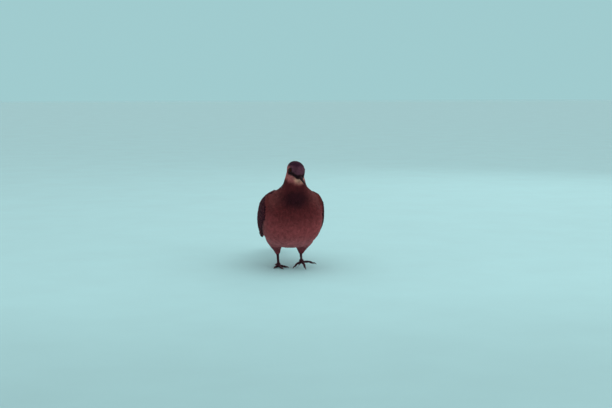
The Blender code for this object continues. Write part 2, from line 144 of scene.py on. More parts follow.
def joined(names, title, swell=0.0):
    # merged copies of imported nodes, swollen a little so that they run into each other, as one object
    copies = []
    for name in names:
        made = nodes[name].copy()
        made.data = nodes[name].data.copy()
        made.parent = None
        made.matrix_world = nodes[name].matrix_world
        bpy.context.scene.collection.objects.link(made)
        made.hide_render = False
        made.hide_viewport = False
        made.hide_set(False)
        for key in list(made.keys()):
            del made[key]
        with editing(made):
            bpy.ops.mesh.remove_doubles(threshold=1e-6)
        if swell:
            applyModifier(made, "DISPLACE", strength=swell, mid_level=0.0)
        copies.append(made)
    pick(*copies)
    if len(copies) > 1:
        bpy.ops.object.join()
    made = copies[0]
    made.name = made.data.name = title
    made.data.materials.clear()
    return made


def remeshed(piece, voxel, rounding):
    applyModifier(piece, "REMESH", mode="VOXEL", voxel_size=voxel)
    applyModifier(piece, "SMOOTH", factor=0.5, iterations=rounding)
    return piece


def pointsOf(piece, what="co"):
    values = np.empty(len(piece.data.vertices) * 3, dtype=np.float32)
    piece.data.vertices.foreach_get(what, values)
    return values.reshape(-1, 3).astype(float)


def setPoints(piece, values):
    piece.data.vertices.foreach_set("co", np.asarray(values, dtype=np.float32).ravel())
    piece.data.update()


def addVectors(mesh, name, values):
    made = mesh.attributes.new(name, "FLOAT_VECTOR", "POINT")
    made.data.foreach_set("vector", values.astype(np.float32).ravel())


def treeOf(piece):
    points = [point.co.copy() for point in piece.data.vertices]
    return BVHTree.FromPolygons(points, [tuple(face.vertices) for face in piece.data.polygons])


def pointTree(places):
    tree = KDTree(len(places))
    for i, place in enumerate(places):
        tree.insert(place, i)
    tree.balance()
    return tree


def unit(vectors):
    return vectors / np.maximum(np.linalg.norm(vectors, axis=-1, keepdims=True), 1e-12)


def smoothStep(values, start, end):
    share = np.clip((values - start) / (end - start), 0, 1)
    return share * share * (3 - 2 * share)


def gapTo(places, spot):
    return np.linalg.norm(places - np.array(spot), axis=1)


def readOff(values, table):
    return np.interp(values, *zip(*table))


def between(pair, share):
    return pair[0] + (pair[1] - pair[0]) * share


def runAlong(line):
    return np.concatenate([[0], np.cumsum(np.linalg.norm(np.diff(line, axis=0), axis=1))])


def lineAt(marks, run, line):
    return np.stack([np.interp(marks, run, line[:, k]) for k in range(3)], axis=-1)


def newMaterial(name):
    made = bpy.data.materials.new(name)
    made.use_nodes = True
    return made, made.node_tree, made.node_tree.nodes["Principled BSDF"]


def feed(socket, value):
    if isinstance(value, bpy.types.NodeSocket):
        socket.id_data.links.new(value, socket)
    else:
        socket.default_value = value


def feedAll(node, **inputs):
    for key, value in inputs.items():
        feed(node.inputs[key.replace("_", " ")], value)


def addNode(tree, kind, settings=None, values=(), **inputs):
    node = tree.nodes.new("ShaderNode" + kind)
    for key, value in (settings or {}).items():
        setattr(node, key, value)
    for socket, value in zip(node.inputs, values):
        feed(socket, value)
    feedAll(node, **inputs)
    return node


def treeWith(*values):
    return next(value.id_data for value in values if isinstance(value, bpy.types.NodeSocket))


def math2(operation, first, second=0.0):
    return addNode(treeWith(first, second), "Math", {"operation": operation}, (first, second)).outputs[0]


def plus(first, second):
    return math2("ADD", first, second)


def minus(first, second):
    return math2("SUBTRACT", first, second)


def times(first, second):
    return math2("MULTIPLY", first, second)


def vectorMath(operation, *values, **inputs):
    return addNode(treeWith(*values), "VectorMath", {"operation": operation}, values, **inputs)


def split(vector):
    return addNode(vector.id_data, "SeparateXYZ", Vector=vector).outputs


def gather(x, y, z):
    return addNode(treeWith(x, y, z), "CombineXYZ", None, (x, y, z)).outputs[0]


def ramp(value, start, end, low=0.0, high=1.0):
    settings = {"interpolation_type": "SMOOTHSTEP"}
    return addNode(value.id_data, "MapRange", settings, (value, start, end, low, high)).outputs["Result"]


def blend(share, first, second, kind="MIX"):
    settings = {"data_type": "RGBA", "blend_type": kind}
    node = addNode(treeWith(share, first, second), "Mix", settings, Factor=share)
    for socket, value in zip(node.inputs[6:8], (first, second)):
        feed(socket, value if isinstance(value, bpy.types.NodeSocket) else (*value, 1.0))
    return node.outputs[2]


def dimmed(paint, factor):
    # paint made lighter or darker by a number that changes over the surface
    return blend(1.0, paint, gather(factor, factor, factor), "MULTIPLY")


def noise(place, scale, detail=3.0, roughness=0.5):
    node = addNode(place.id_data, "TexNoise", Vector=place, Scale=scale, Detail=detail, Roughness=roughness)
    return node.outputs["Fac"]


def bump(shader, height, strength, distance):
    node = addNode(shader.id_data, "Bump", Height=height, Strength=strength, Distance=distance)
    feed(shader.inputs["Normal"], node.outputs["Normal"])


def attribute(tree, name, kind="Vector"):
    return addNode(tree, "Attribute", {"attribute_name": name}).outputs[kind]


def objectPlace(tree):
    return addNode(tree, "TexCoord").outputs["Object"]


def skullPlace(place):
    # right, ahead and up from between the eyes, in metres
    turned = addNode(place.id_data, "Mapping", {"vector_type": "TEXTURE"}, Vector=place,
                     Location=eyeMiddle, Rotation=headTurn.to_euler())
    return split(turned.outputs[0])


def newGroup(name, takes, gives):
    group = bpy.data.node_groups.new(name, "ShaderNodeTree")
    for title, kind, value in takes:
        made = group.interface.new_socket(title, in_out="INPUT", socket_type="NodeSocket" + kind)
        if value is not None:
            made.default_value = value
    for title, kind in gives:
        group.interface.new_socket(title, in_out="OUTPUT", socket_type="NodeSocket" + kind)
    return group, group.nodes.new("NodeGroupInput").outputs, group.nodes.new("NodeGroupOutput").inputs


def useGroup(tree, group, **inputs):
    return addNode(tree, "Group", {"node_tree": group}, **inputs).outputs


def plainMaterial(name, scale, paints, roughness, strength, depth, specular=0.5):
    # bare skin and horn: one noise for its colour, its gloss and its relief
    made, tree, shader = newMaterial(name)
    fine = noise(objectPlace(tree), scale, 4.0, 0.6)
    feedAll(shader, Base_Color=blend(ramp(fine, 0.3, 0.7), *paints),
            Roughness=ramp(fine, 0.2, 0.8, *roughness), Specular_IOR_Level=specular)
    bump(shader, fine, strength, depth)
    return made


plumageColours = {
    "belly": (0.275, 0.054, 0.058),
    # the belly's paler middle: partly its own paler tone and partly painted light bounced up from the floor
    "paleBellyAndBounceLight": (0.430, 0.107, 0.116),
    # darker upper breast, darkest in its middle: partly the breast's own tone and partly painted shade under
    # the head
    "breast": (0.075, 0.013, 0.015),
    "breastShade": (0.015, 0.0025, 0.006),
    "shoulder": (0.120, 0.033, 0.032),
    "back": (0.045, 0.022, 0.022),
    "rump": (0.060, 0.050, 0.060),
    "vent": (0.270, 0.150, 0.145),
    "cheek": (0.320, 0.108, 0.105),
    "nape": (0.055, 0.025, 0.030),
    "crown": (0.028, 0.0085, 0.022),
    "forehead": (0.078, 0.031, 0.049),
    "throat": (0.600, 0.315, 0.220),
    "mask": (0.010, 0.003, 0.005),
    "neckFoot": (0.048, 0.008, 0.010),
    "thigh": (0.150, 0.032, 0.042),
}
markingBuild = {
    "wander": (160.0, 3.2 * mm),  # fineness of the noise that roughens the patches' edges, and how far
    "mottle": 190.0,
    "thighDrop": -8 * mm,
    "quillGrow": (5, 6, 3),  # mm that the patches of painted shade reach past the primaries
}


def markingPatches():
    # each is on the head or not, its middle, half sizes in mm, softness, colour and strength, and they are
    # laid on in turn; those on the head are in mm from between the eyes, and are on both sides of it
    head, body = True, False
    drop = Vector((0, 0, markingBuild["thighDrop"]))
    # patches of painted shade under each wing's primaries, in the back's colour
    quillShadePatches = []
    for word in sides:
        low, high = boxOf("primaries_" + word)
        reach = tuple((high[k] - low[k]) / 2 / mm + grow for k, grow in enumerate(markingBuild["quillGrow"]))
        quillShadePatches.append((body, (low + high) / 2, reach, 0.18, "back", 1.0))
    return (
        # paler middle of the belly: partly its own tone and partly painted light bounced up from the floor
        (body, onTrunk(0, 0.30, 0.00), (42, 62, 24), 0.45, "paleBellyAndBounceLight", 0.9),
        (body, onTrunk(0, 0.62, 1.10), (70, 105, 50), 0.16, "back", 1.0),
        (body, onTrunk(0, 0.98, 0.00), (34, 46, 18), 0.35, "vent", 1.0),
        (body, onTrunk(0, 1.02, 0.58), (34, 46, 24), 0.22, "rump", 1.0),
        *((body, onTrunk(side * 1.02, 0.75, 0.52), (15, 96, 36), 0.22, "back", 1.0) for side in (-1, 1)),
        *quillShadePatches,
        # the rear flanks under the folded wings, painted dark in the back's colour as the shade beneath them
        *((body, onTrunk(side * 0.60, 0.88, 0.46), (14, 36, 21), 0.25, "back", 1.0) for side in (-1, 1)),
        *((body, middleOf("thigh_" + word) + drop, (13, 14, 13), 0.30, "thigh", 0.9) for word in sides),
        # darker upper breast: partly its own tone and partly painted shade under the head
        (body, onTrunk(0, 0.02, 0.84), (54, 46, 33), 0.55, "breast", 0.97),
        *((body, onTrunk(side * 0.66, 0.12, 0.86), (14, 26, 12), 0.6, "shoulder", 0.8) for side in (1, -1)),
        # darkest middle of the upper breast: partly its own tone and partly painted shade under the head
        (body, onTrunk(-0.02, 0.0, 0.85), (19, 26, 12), 0.6, "breastShade", 0.9),
        (head, (0, -4, -9), (19, 22, 22), 0.22, "neckFoot", 0.8),
        (head, (0, -3, -2), (18, 26, 15), 0.22, "cheek", 1.0),
        (head, (0, -20, -6), (15, 11, 18), 0.35, "nape", 0.9),
        (head, (0, -2, 10.5), (14.0, 21, 8.5), 0.28, "crown", 1.0),
        (head, (0, 11.5, 1.8), (9.5, 9.0, 6.0), 0.40, "forehead", 1.0),
        (head, (8.4, 6.2, 4.0), (4.4, 6.2, 4.4), 0.42, "forehead", 1.0),
        (head, (2.2, 12.4, -8.2), (4.4, 4.6, 4.0), 0.75, "throat", 1.0),
        (head, (11.5, 2.4, -0.1), (7, 4.9, 4.5), 0.26, "mask", 1.0),
        (head, (9.0, 6.6, -1.2), (5, 4.2, 2.3), 0.40, "mask", 1.0),
        (head, (6.2, 10.4, -2.9), (5, 4.2, 2.3), 0.40, "mask", 1.0),
        (head, (3.4, 13.8, -4.2), (5, 3.9, 2.9), 0.40, "mask", 1.0),
    )


def makeMarkings():
    # the bird's markings as soft-edged patches, read at Place in the bird's own metres
    group, take, give = newGroup(
        "plumageMarkings", [("Place", "Vector", None)], [("Color", "Color"), ("Mottle", "Float")]
    )
    fineness, reach = markingBuild["wander"]
    wander = addNode(group, "TexNoise", Vector=take["Place"], Scale=fineness, Detail=2.0).outputs["Color"]
    centred = vectorMath("SUBTRACT", wander, (0.5, 0.5, 0.5)).outputs[0]
    small = vectorMath("SCALE", centred, Scale=reach).outputs[0]
    bodyPlace = vectorMath("ADD", take["Place"], small).outputs[0]
    right, ahead, up = skullPlace(bodyPlace)
    headPlace = gather(math2("ABSOLUTE", right), ahead, up)
    paint = plumageColours["belly"]
    for onSkull, middle, halfSizes, softness, name, strength in markingPatches():
        inside = addNode(group, "Mapping", {"vector_type": "TEXTURE"},
                         Vector=headPlace if onSkull else bodyPlace,
                         Location=Vector(middle) * (mm if onSkull else 1.0), Scale=Vector(halfSizes) * mm)
        far = vectorMath("LENGTH", inside.outputs[0]).outputs["Value"]
        paint = blend(ramp(far, 1 + softness, 1 - softness, 0.0, strength), paint, plumageColours[name])
    feed(give["Color"], paint)
    feed(give["Mottle"], noise(take["Place"], markingBuild["mottle"], 4.0, 0.7))
    return group


def makeVaneDetail():
    # streaks of barbs, the pale edge and the shaft of one feather, from its own Vane places:
    # along it, across it and a random number that is the same all over the feather
    group, take, give = newGroup(
        "vaneDetail",
        [("Vane", "Vector", None), ("Barbs", "Float", 40.0), ("Slant", "Float", 0.5),
         ("Edge", "Float", 0.2), ("Shaft", "Float", 0.06)],
        [("Streak", "Float"), ("Fringe", "Float"), ("Quill", "Float"), ("Height", "Float")],
    )
    along, across, chance = split(take["Vane"])
    aside = math2("ABSOLUTE", across)
    row = times(minus(along, times(aside, take["Slant"])), take["Barbs"])
    other = plus(times(math2("SIGN", across), 3.7), times(chance, 91.0))
    streak = noise(gather(row, other, times(aside, 1.3)), 1.0, 3.0, 0.6)
    side = ramp(aside, minus(1.0, take["Edge"]), 1.0)
    end = ramp(along, minus(1.0, take["Edge"]), 1.02)
    fringe = plus(math2("MAXIMUM", side, end), times(minus(streak, 0.5), 0.7))
    quill = ramp(aside, take["Shaft"], times(take["Shaft"], 0.3))
    feed(give["Streak"], streak)
    feed(give["Fringe"], ramp(fringe, 0.25, 0.75))
    feed(give["Quill"], quill)
    feed(give["Height"], plus(streak, quill))
    return group


markings = makeMarkings()
vaneDetail = makeVaneDetail()

print("markings ready")

coatLooks = {  # barbs, share of the half width that is edge, how much paler the edge is, depth of the barbs
    "faceFeathers": (12.0, 0.3, 1.08, 0.06 * mm),
    "bodyFeathers": (30.0, 0.22, 1.16, 0.15 * mm),
}
featherLooks = {
    # middle, rim and shaft; share of the half width that is rim; barbs along it; "hinder" has middle and rim
    # where they differ further back along the bird, and "end" the pale end and where it starts
    # the coat under the wing's own feathers, seen only in their gaps: painted dark as the shade beneath them
    "underWingShade": {
        "paints": ((0.026, 0.013, 0.015), (0.045, 0.022, 0.020), (0.02, 0.012, 0.012)), "edge": 0.2,
        "barbs": 30.0},
    "wingCoverts": {
        "paints": ((0.020, 0.004, 0.010), (0.145, 0.040, 0.048), (0.02, 0.008, 0.012)), "edge": 0.22,
        "barbs": 40.0, "gloss": 0.78, "hinder": ((0.024, 0.010, 0.011), (0.165, 0.066, 0.042))},
    "flightFeathers": {
        "paints": ((0.022, 0.014, 0.017), (0.12, 0.075, 0.065), (0.012, 0.009, 0.010)), "edge": 0.08,
        "barbs": 110.0, "gloss": 0.42},
    "neckPatch": {
        "paints": ((0.010, 0.007, 0.010), (0.085, 0.080, 0.095), (0.008, 0.006, 0.008)), "edge": 0.16,
        "barbs": 30.0, "end": ((0.20, 0.18, 0.21), 0.84)},
    "tailFeathers": {
        "paints": ((0.040, 0.034, 0.040), (0.075, 0.062, 0.066), (0.02, 0.016, 0.018)), "edge": 0.10,
        "barbs": 150.0, "end": ((0.30, 0.28, 0.31), 0.87)},
    "tailCentre": {
        "paints": ((0.070, 0.054, 0.056), (0.11, 0.085, 0.08), (0.03, 0.022, 0.022)), "edge": 0.12,
        "barbs": 150.0},
}
hinderReach = (-76 * mm, -40 * mm)  # along the bird, where the wings' colours turn to the hinder ones


def makeCoatMaterial(name):
    barbs, edge, edgeLift, depth = coatLooks[name]
    made, tree, shader = newMaterial(name)
    vane = attribute(tree, "vane")
    painted = useGroup(tree, markings, Place=attribute(tree, "rootPlace"))
    detail = useGroup(tree, vaneDetail, Vane=vane, Barbs=barbs, Slant=0.45, Edge=edge, Shaft=0.05)
    paint = dimmed(painted["Color"], ramp(detail["Streak"], 0.25, 0.75, 0.80, 1.20))
    paint = dimmed(paint, plus(times(split(vane)[2], 0.34), 0.83))
    paint = dimmed(paint, ramp(painted["Mottle"], 0.3, 0.7, 0.78, 1.22))
    paint = dimmed(paint, ramp(detail["Fringe"], 0.0, 1.0, 1.0, edgeLift))
    feedAll(shader, Base_Color=paint, Roughness=ramp(detail["Streak"], 0.2, 0.8, 0.62, 0.82),
            Sheen_Weight=0.02, Sheen_Roughness=0.5, Specular_IOR_Level=0.08)
    bump(shader, detail["Height"], 0.5, depth)
    return made


def makeSkinMaterial():
    made, tree, shader = newMaterial("featheredSkin")
    place = objectPlace(tree)
    painted = useGroup(tree, markings, Place=place)
    fine = noise(place, 1400.0, 4.0, 0.7)
    feedAll(shader, Base_Color=dimmed(painted["Color"], ramp(painted["Mottle"], 0.3, 0.7, 0.62, 0.86)),
            Roughness=ramp(fine, 0.2, 0.8, 0.72, 0.92), Specular_IOR_Level=0.2)
    bump(shader, fine, 0.6, 0.4 * mm)
    return made


def makeFeatherMaterial(name):
    look = featherLooks[name]
    centre, rim, shaft = look["paints"]
    made, tree, shader = newMaterial(name)
    vane = attribute(tree, "vane")
    along, _, chance = split(vane)
    detail = useGroup(tree, vaneDetail, Vane=vane, Barbs=look["barbs"], Slant=0.35, Edge=look["edge"],
                      Shaft=0.05)
    if "hinder" in look:
        further = ramp(split(attribute(tree, "rootPlace"))[1], *hinderReach)
        centre, rim = (blend(further, near, far) for near, far in zip((centre, rim), look["hinder"]))
    paint = blend(detail["Fringe"], centre, rim)
    if "end" in look:
        pale, start = look["end"]
        ragged = plus(along, times(minus(detail["Streak"], 0.5), 0.12))
        paint = blend(ramp(ragged, start - 0.03, start + 0.03), paint, pale)
    paint = blend(times(detail["Quill"], 0.8), paint, shaft)
    paint = dimmed(paint, ramp(detail["Streak"], 0.25, 0.75, 0.78, 1.22))
    paint = dimmed(paint, plus(times(chance, 0.3), 0.85))
    gloss = look.get("gloss", 0.5)
    feedAll(shader, Base_Color=paint, Roughness=ramp(detail["Streak"], 0.2, 0.8, gloss, gloss + 0.2),
            Specular_IOR_Level=0.05)
    bump(shader, detail["Height"], 0.6, 0.12 * mm)
    return made


skinBuild = {
    "voxel": 1.15 * mm,
    "swell": 0.25 * mm,
    "rounding": 5,
    "thinShare": 0.4,  # most of a thin edge's thickness that the skin is sunk by
    # depth of the coat in mm at each mm from the bill
    "depths": ((0, 0.15), (6, 0.55), (16, 0.9), (32, 1.2), (55, 2.0), (80, 2.6), (200, 2.8)),
    "eyeClear": 4.45 * mm,  # the skin stays this far from the middle of each eye
    "outerVoxel": 1.3 * mm,
    "outerRounding": 6,
    "thickest": 30 * mm,
}
fleshNodes = ["head", "neck", "trunk", "thigh_right", "thigh_left", "wing_right", "wing_left"]
outerNodes = fleshNodes + ["primaries_right", "primaries_left", "tail"]


def fused(names, title, voxel, rounding):
    return remeshed(joined(names, title, skinBuild["swell"]), voxel, rounding)


def coatDepth(places):
    return readOff(gapTo(places, billRoot) / mm, skinBuild["depths"]) * mm


def roomUnder(tree, places, outward):
    # how thick the form is under each place, so that nothing is sunk out through its far side
    most = skinBuild["thickest"]
    room = np.full(len(places), most)
    for i, (place, up) in enumerate(zip(places, outward)):
        start = Vector(place) - Vector(up) * 0.3 * mm
        _, _, _, gap = tree.ray_cast(start, -Vector(up), most)
        if gap:
            room[i] = gap
    return room


def makeSkin():
    skin = fused(fleshNodes, "bird_skin", skinBuild["voxel"], skinBuild["rounding"])
    places, outward = pointsOf(skin), pointsOf(skin, "normal")
    room = roomUnder(treeOf(skin), places, outward)
    depth = np.minimum(coatDepth(places), room * skinBuild["thinShare"])
    for _ in range(3):
        setPoints(skin, pointsOf(skin) - pointsOf(skin, "normal") * (depth / 3)[:, None])
        applyModifier(skin, "SMOOTH", factor=0.4, iterations=2)
    places = pointsOf(skin)
    clear = skinBuild["eyeClear"]
    for word in sides:
        eye = np.array(middleOf("eye_" + word))
        inside = gapTo(places, eye) < clear
        places[inside] = eye + unit(places[inside] - eye) * clear
    setPoints(skin, places)
    with editing(skin):
        bpy.ops.mesh.normals_make_consistent(inside=False)
        bpy.ops.uv.smart_project(angle_limit=math.radians(75), island_margin=0.004)
    skin.data.uv_layers[0].name = "OFBake"
    dress(skin, makeSkinMaterial(), "plumage", *fleshNodes)
    print("skin:", len(skin.data.polygons), "faces")
    return skin


skin = makeSkin()
outerForm = fused(outerNodes, "outer_form", skinBuild["outerVoxel"], skinBuild["outerRounding"])
outerTree = treeOf(outerForm)
skinTree = treeOf(skin)


def skinMapAt(places):
    # where each place falls on the skin's unwrap
    mesh = skin.data
    corners = np.empty(len(mesh.loops) * 2, dtype=np.float32)
    mesh.uv_layers["OFBake"].data.foreach_get("uv", corners)
    corners = corners.reshape(-1, 2)
    found = np.empty((len(places), 2))
    for i, place in enumerate(places):
        spot, _, index, _ = skinTree.find_nearest(Vector(place))
        face = mesh.polygons[index]
        weights = np.array([1 / ((mesh.vertices[v].co - spot).length + 1e-6) for v in face.vertices])
        found[i] = (corners[list(face.loop_indices)] * (weights / sum(weights))[:, None]).sum(axis=0)
    return found


def lieGuides():
    # (middle, way the feathers point there, reach in mm)
    rows = [
        (onHead(0, 0, 6), -headAhead + headUp * 0.1, 11),
        (onHead(0, -14, 8), -headAhead - headUp * 0.9, 11),
        (onHead(0, -19, -6), Vector((0, 0.3, -1)), 13),
        (onHead(0, 8, -13), Vector((0, 0.2, -1)), 10),
        (middleOf("neck"), Vector((0, 0.1, -1)), 17),
        (onTrunk(0, 0.05, 0.73), Vector((0, 0.3, -1)), 24),
        (onTrunk(0, 0.14, 0.28), Vector((0, 0.9, -0.7)), 24),
        (onTrunk(0, 0.37, 0.02), Vector((0, 1, -0.05)), 26),
        (onTrunk(0, 0.30, 0.96), Vector((0, 1, -0.2)), 22),
        (onTrunk(0, 0.59, 0.76), Vector((0, 1, -0.35)), 26),
        (onTrunk(0, 0.84, 0.50), Vector((0, 1, -0.4)), 24),
        (onTrunk(0, 0.84, 0.13), Vector((0, 1, 0.25)), 24),
        (onTrunk(0, 1.10, 0.30), Vector((0, 1, -0.25)), 26),
    ]
    for side in (-1, 1):
        rows += [
            (onHead(side * 11, 0, 0), -headAhead * 1.0 - headUp * 0.25, 8),
            (onHead(side * 9, -12, -6), -headAhead * 0.5 - headUp * 1.0, 10),
            (onTrunk(side * 0.94, 0.40, 0.40), Vector((0, 1, -0.45)), 26),
            (onTrunk(side * 0.75, 0.11, 0.73), Vector((side * 0.3, 0.8, -0.7)), 20),
            (onTrunk(side * 0.5, 0.4, 0.03), Vector((side * 0.12, 0.9, -0.25)), 22),
        ]
    for word in sides:
        low, high = boxOf("thigh_" + word)
        foot = Vector(((low.x + high.x) / 2, (low.y + high.y) / 2, low.z + 8 * mm))
        rows.append((foot, Vector((0, 0.12, -1)), 13))
    return rows


guideRows = lieGuides()
fromBillBuild = {"pull": 1.6, "reach": 7 * mm}  # how strongly the face's feathers point away from the bill


def lieAt(places, outward):
    total = np.zeros_like(places)
    for middle, way, reach in guideRows:
        near = gapTo(places, middle) / (reach * mm)
        total += (np.exp(-0.5 * near ** 2) + 1e-9)[:, None] * np.array(way.normalized())
    total = unit(total)
    fromBill = places - np.array(billRoot)
    near = np.linalg.norm(fromBill, axis=1)
    total += unit(fromBill) * (fromBillBuild["pull"] * np.exp(-near / fromBillBuild["reach"]))[:, None]
    total -= outward * (total * outward).sum(axis=1, keepdims=True)
    return unit(total)


def turnedWays(ways, outward, degrees, rng):
    angle = np.radians(rng.normal(0, degrees, len(ways)))[:, None]
    return ways * np.cos(angle) + np.cross(outward, ways) * np.sin(angle)


def scatter(piece, spacingAt, seed, crowd=7):
    # evenly spread, unordered roots: random spots thinned so that none is nearer than the spacing there
    rng = np.random.default_rng(seed)
    points, turned = pointsOf(piece), pointsOf(piece, "normal")
    mesh = piece.data
    mesh.calc_loop_triangles()
    corners = np.empty(len(mesh.loop_triangles) * 3, dtype=np.int32)
    mesh.loop_triangles.foreach_get("vertices", corners)
    corners = corners.reshape(-1, 3)
    a, b, c = (points[corners[:, i]] for i in range(3))
    area = np.linalg.norm(np.cross(b - a, c - a), axis=1) / 2
    wanted = area / spacingAt((a + b + c) / 3) ** 2
    count = int(wanted.sum() * crowd)
    chosen = rng.choice(len(corners), size=count, p=wanted / wanted.sum())
    u, v = rng.random(count), rng.random(count)
    flip = u + v > 1
    u[flip], v[flip] = 1 - u[flip], 1 - v[flip]
    w = 1 - u - v
    spots = a[chosen] * w[:, None] + b[chosen] * u[:, None] + c[chosen] * v[:, None]
    outward = sum(turned[corners[chosen, i]] * s[:, None] for i, s in enumerate((w, u, v)))
    gap = spacingAt(spots)
    tree = pointTree(spots)
    free = np.ones(count, dtype=bool)
    kept = []
    for i in range(count):
        if free[i]:
            kept.append(i)
            for _, other, _ in tree.find_range(spots[i], gap[i]):
                free[other] = False
    return spots[kept], unit(outward[kept])


vaneKinds = {
    # columns, rows, half width along it, droop and lag of its edges, thickness, and how far every other
    # point of its edge is drawn back, so that the barbs part there
    "small_vane": (6, 3, ((0, 0.55), (0.35, 1.0), (0.7, 0.95), (1, 0.55)), 0.10, 0.26, 0.0, 0.17),
    "body_vane": (10, 3, ((0, 0.45), (0.3, 0.95), (0.65, 1.0), (0.85, 0.86), (1, 0.55)),
                  0.12, 0.24, 0.0, 0.15),
    "covert_vane": (8, 10, ((0, 0.35), (0.2, 0.8), (0.5, 1.0), (0.75, 0.97), (0.88, 0.82), (0.96, 0.58),
                            (1, 0.34)), 0.16, 0.10, 0.02, 0.022),
    "flight_vane": (8, 18, ((0, 0.25), (0.15, 0.7), (0.4, 1.0), (0.8, 0.92), (0.92, 0.70), (0.97, 0.46),
                            (1, 0.2)), 0.08, 0.10, 0.03, 0.0),
    "tail_vane": (10, 20, ((0, 0.3), (0.2, 0.62), (0.6, 0.9), (0.9, 1.0), (0.96, 0.88), (0.99, 0.6),
                           (1, 0.42)), 0.05, 0.035, 0.03, 0.0),
}


def modelVane(title):
    # a flat vane one unit long and one unit from shaft to edge, pointing along Y, root at the origin
    columns, rows, outline, droop, lag, thickness, frayed = vaneKinds[title]
    vane = newPiece(title, bpy.ops.mesh.primitive_grid_add, x_subdivisions=columns, y_subdivisions=rows,
                    size=2)
    with editing(vane):
        bpy.ops.transform.resize(value=(1, 0.5, 1))
        bpy.ops.transform.translate(value=(0, 0.5, 0))
    for row in range(rows + 1):
        level = row / rows
        wide = float(readOff(level, outline))
        with editing(vane, lambda point: abs(point.y - level) < 0.2 / rows):
            bpy.ops.transform.resize(value=(wide, 1, 1), center_override=(0, level, 0))
    places = pointsOf(vane)
    across, level = np.abs(places[:, 0]), places[:, 1].copy()
    column = np.rint((places[:, 0] / readOff(level, outline) + 1) * columns / 2)
    places[:, 2] = -droop * across ** 2
    places[:, 1] -= lag * across ** 2 * level ** 2
    places[:, 1] -= frayed * (column % 2) * smoothStep(level, 0.5, 1.0)
    setPoints(vane, places)
    if thickness:
        applyModifier(vane, "SOLIDIFY", thickness=thickness, offset=-1)
    shape = pointsOf(vane), [tuple(face.vertices) for face in vane.data.polygons]
    bpy.data.objects.remove(vane, do_unlink=True)
    return shape


walkBuild = {
    "pull": 0.9,  # share of the gap to the form that each step closes
    "offForm": 2.5 * mm,  # further off than this the form has ended
    "facing": 0.2,  # least cosine between the form's face and the feather's
}


def walk(roots, outward, ways, lengths, steps, tree):
    # follows the form from each root, a step at a time, and goes straight on where the form ends
    places = np.empty((len(roots), steps + 1, 3))
    turned = np.empty_like(places)
    for i in range(len(roots)):
        spot, up, way = Vector(roots[i]), Vector(outward[i]), Vector(ways[i])
        step = lengths[i] / steps
        places[i, 0], turned[i, 0] = spot, up
        for j in range(1, steps + 1):
            spot = spot + way * step
            near, face, _, gap = tree.find_nearest(spot)
            if gap < walkBuild["offForm"] and face.dot(up) > walkBuild["facing"]:
                spot = spot - face * (spot - near).dot(face) * walkBuild["pull"]
                up = (up + face).normalized()
            way = (way - up * way.dot(up)).normalized()
            places[i, j], turned[i, j] = spot, up
    return places, turned


def pathsOf(places, turned, half, rootDepth, tipDepth, roll, ragged):
    # where each feather lies, its half width, how deep its root and tip are, and its roll
    count = len(places)
    paths = {"half": half, "rootDepth": rootDepth, "tipDepth": tipDepth, "roll": roll}
    paths = {key: np.broadcast_to(value, count) for key, value in paths.items()}
    return {"roots": places[:, 0].copy(), "places": places, "outward": turned, "ragged": ragged, **paths}


def stacked(parts):
    return {
        key: np.concatenate([part[key] for part in parts]) if isinstance(parts[0][key], np.ndarray)
        else parts[0][key]
        for key in parts[0]
    }


mapBuild = {
    "cellShare": 0.9,  # of each feather's own square on the map
    "smallSize": 0.003,  # of the map, for feathers that lie over the skin's own unwrap
    "margin": 0.001,
}


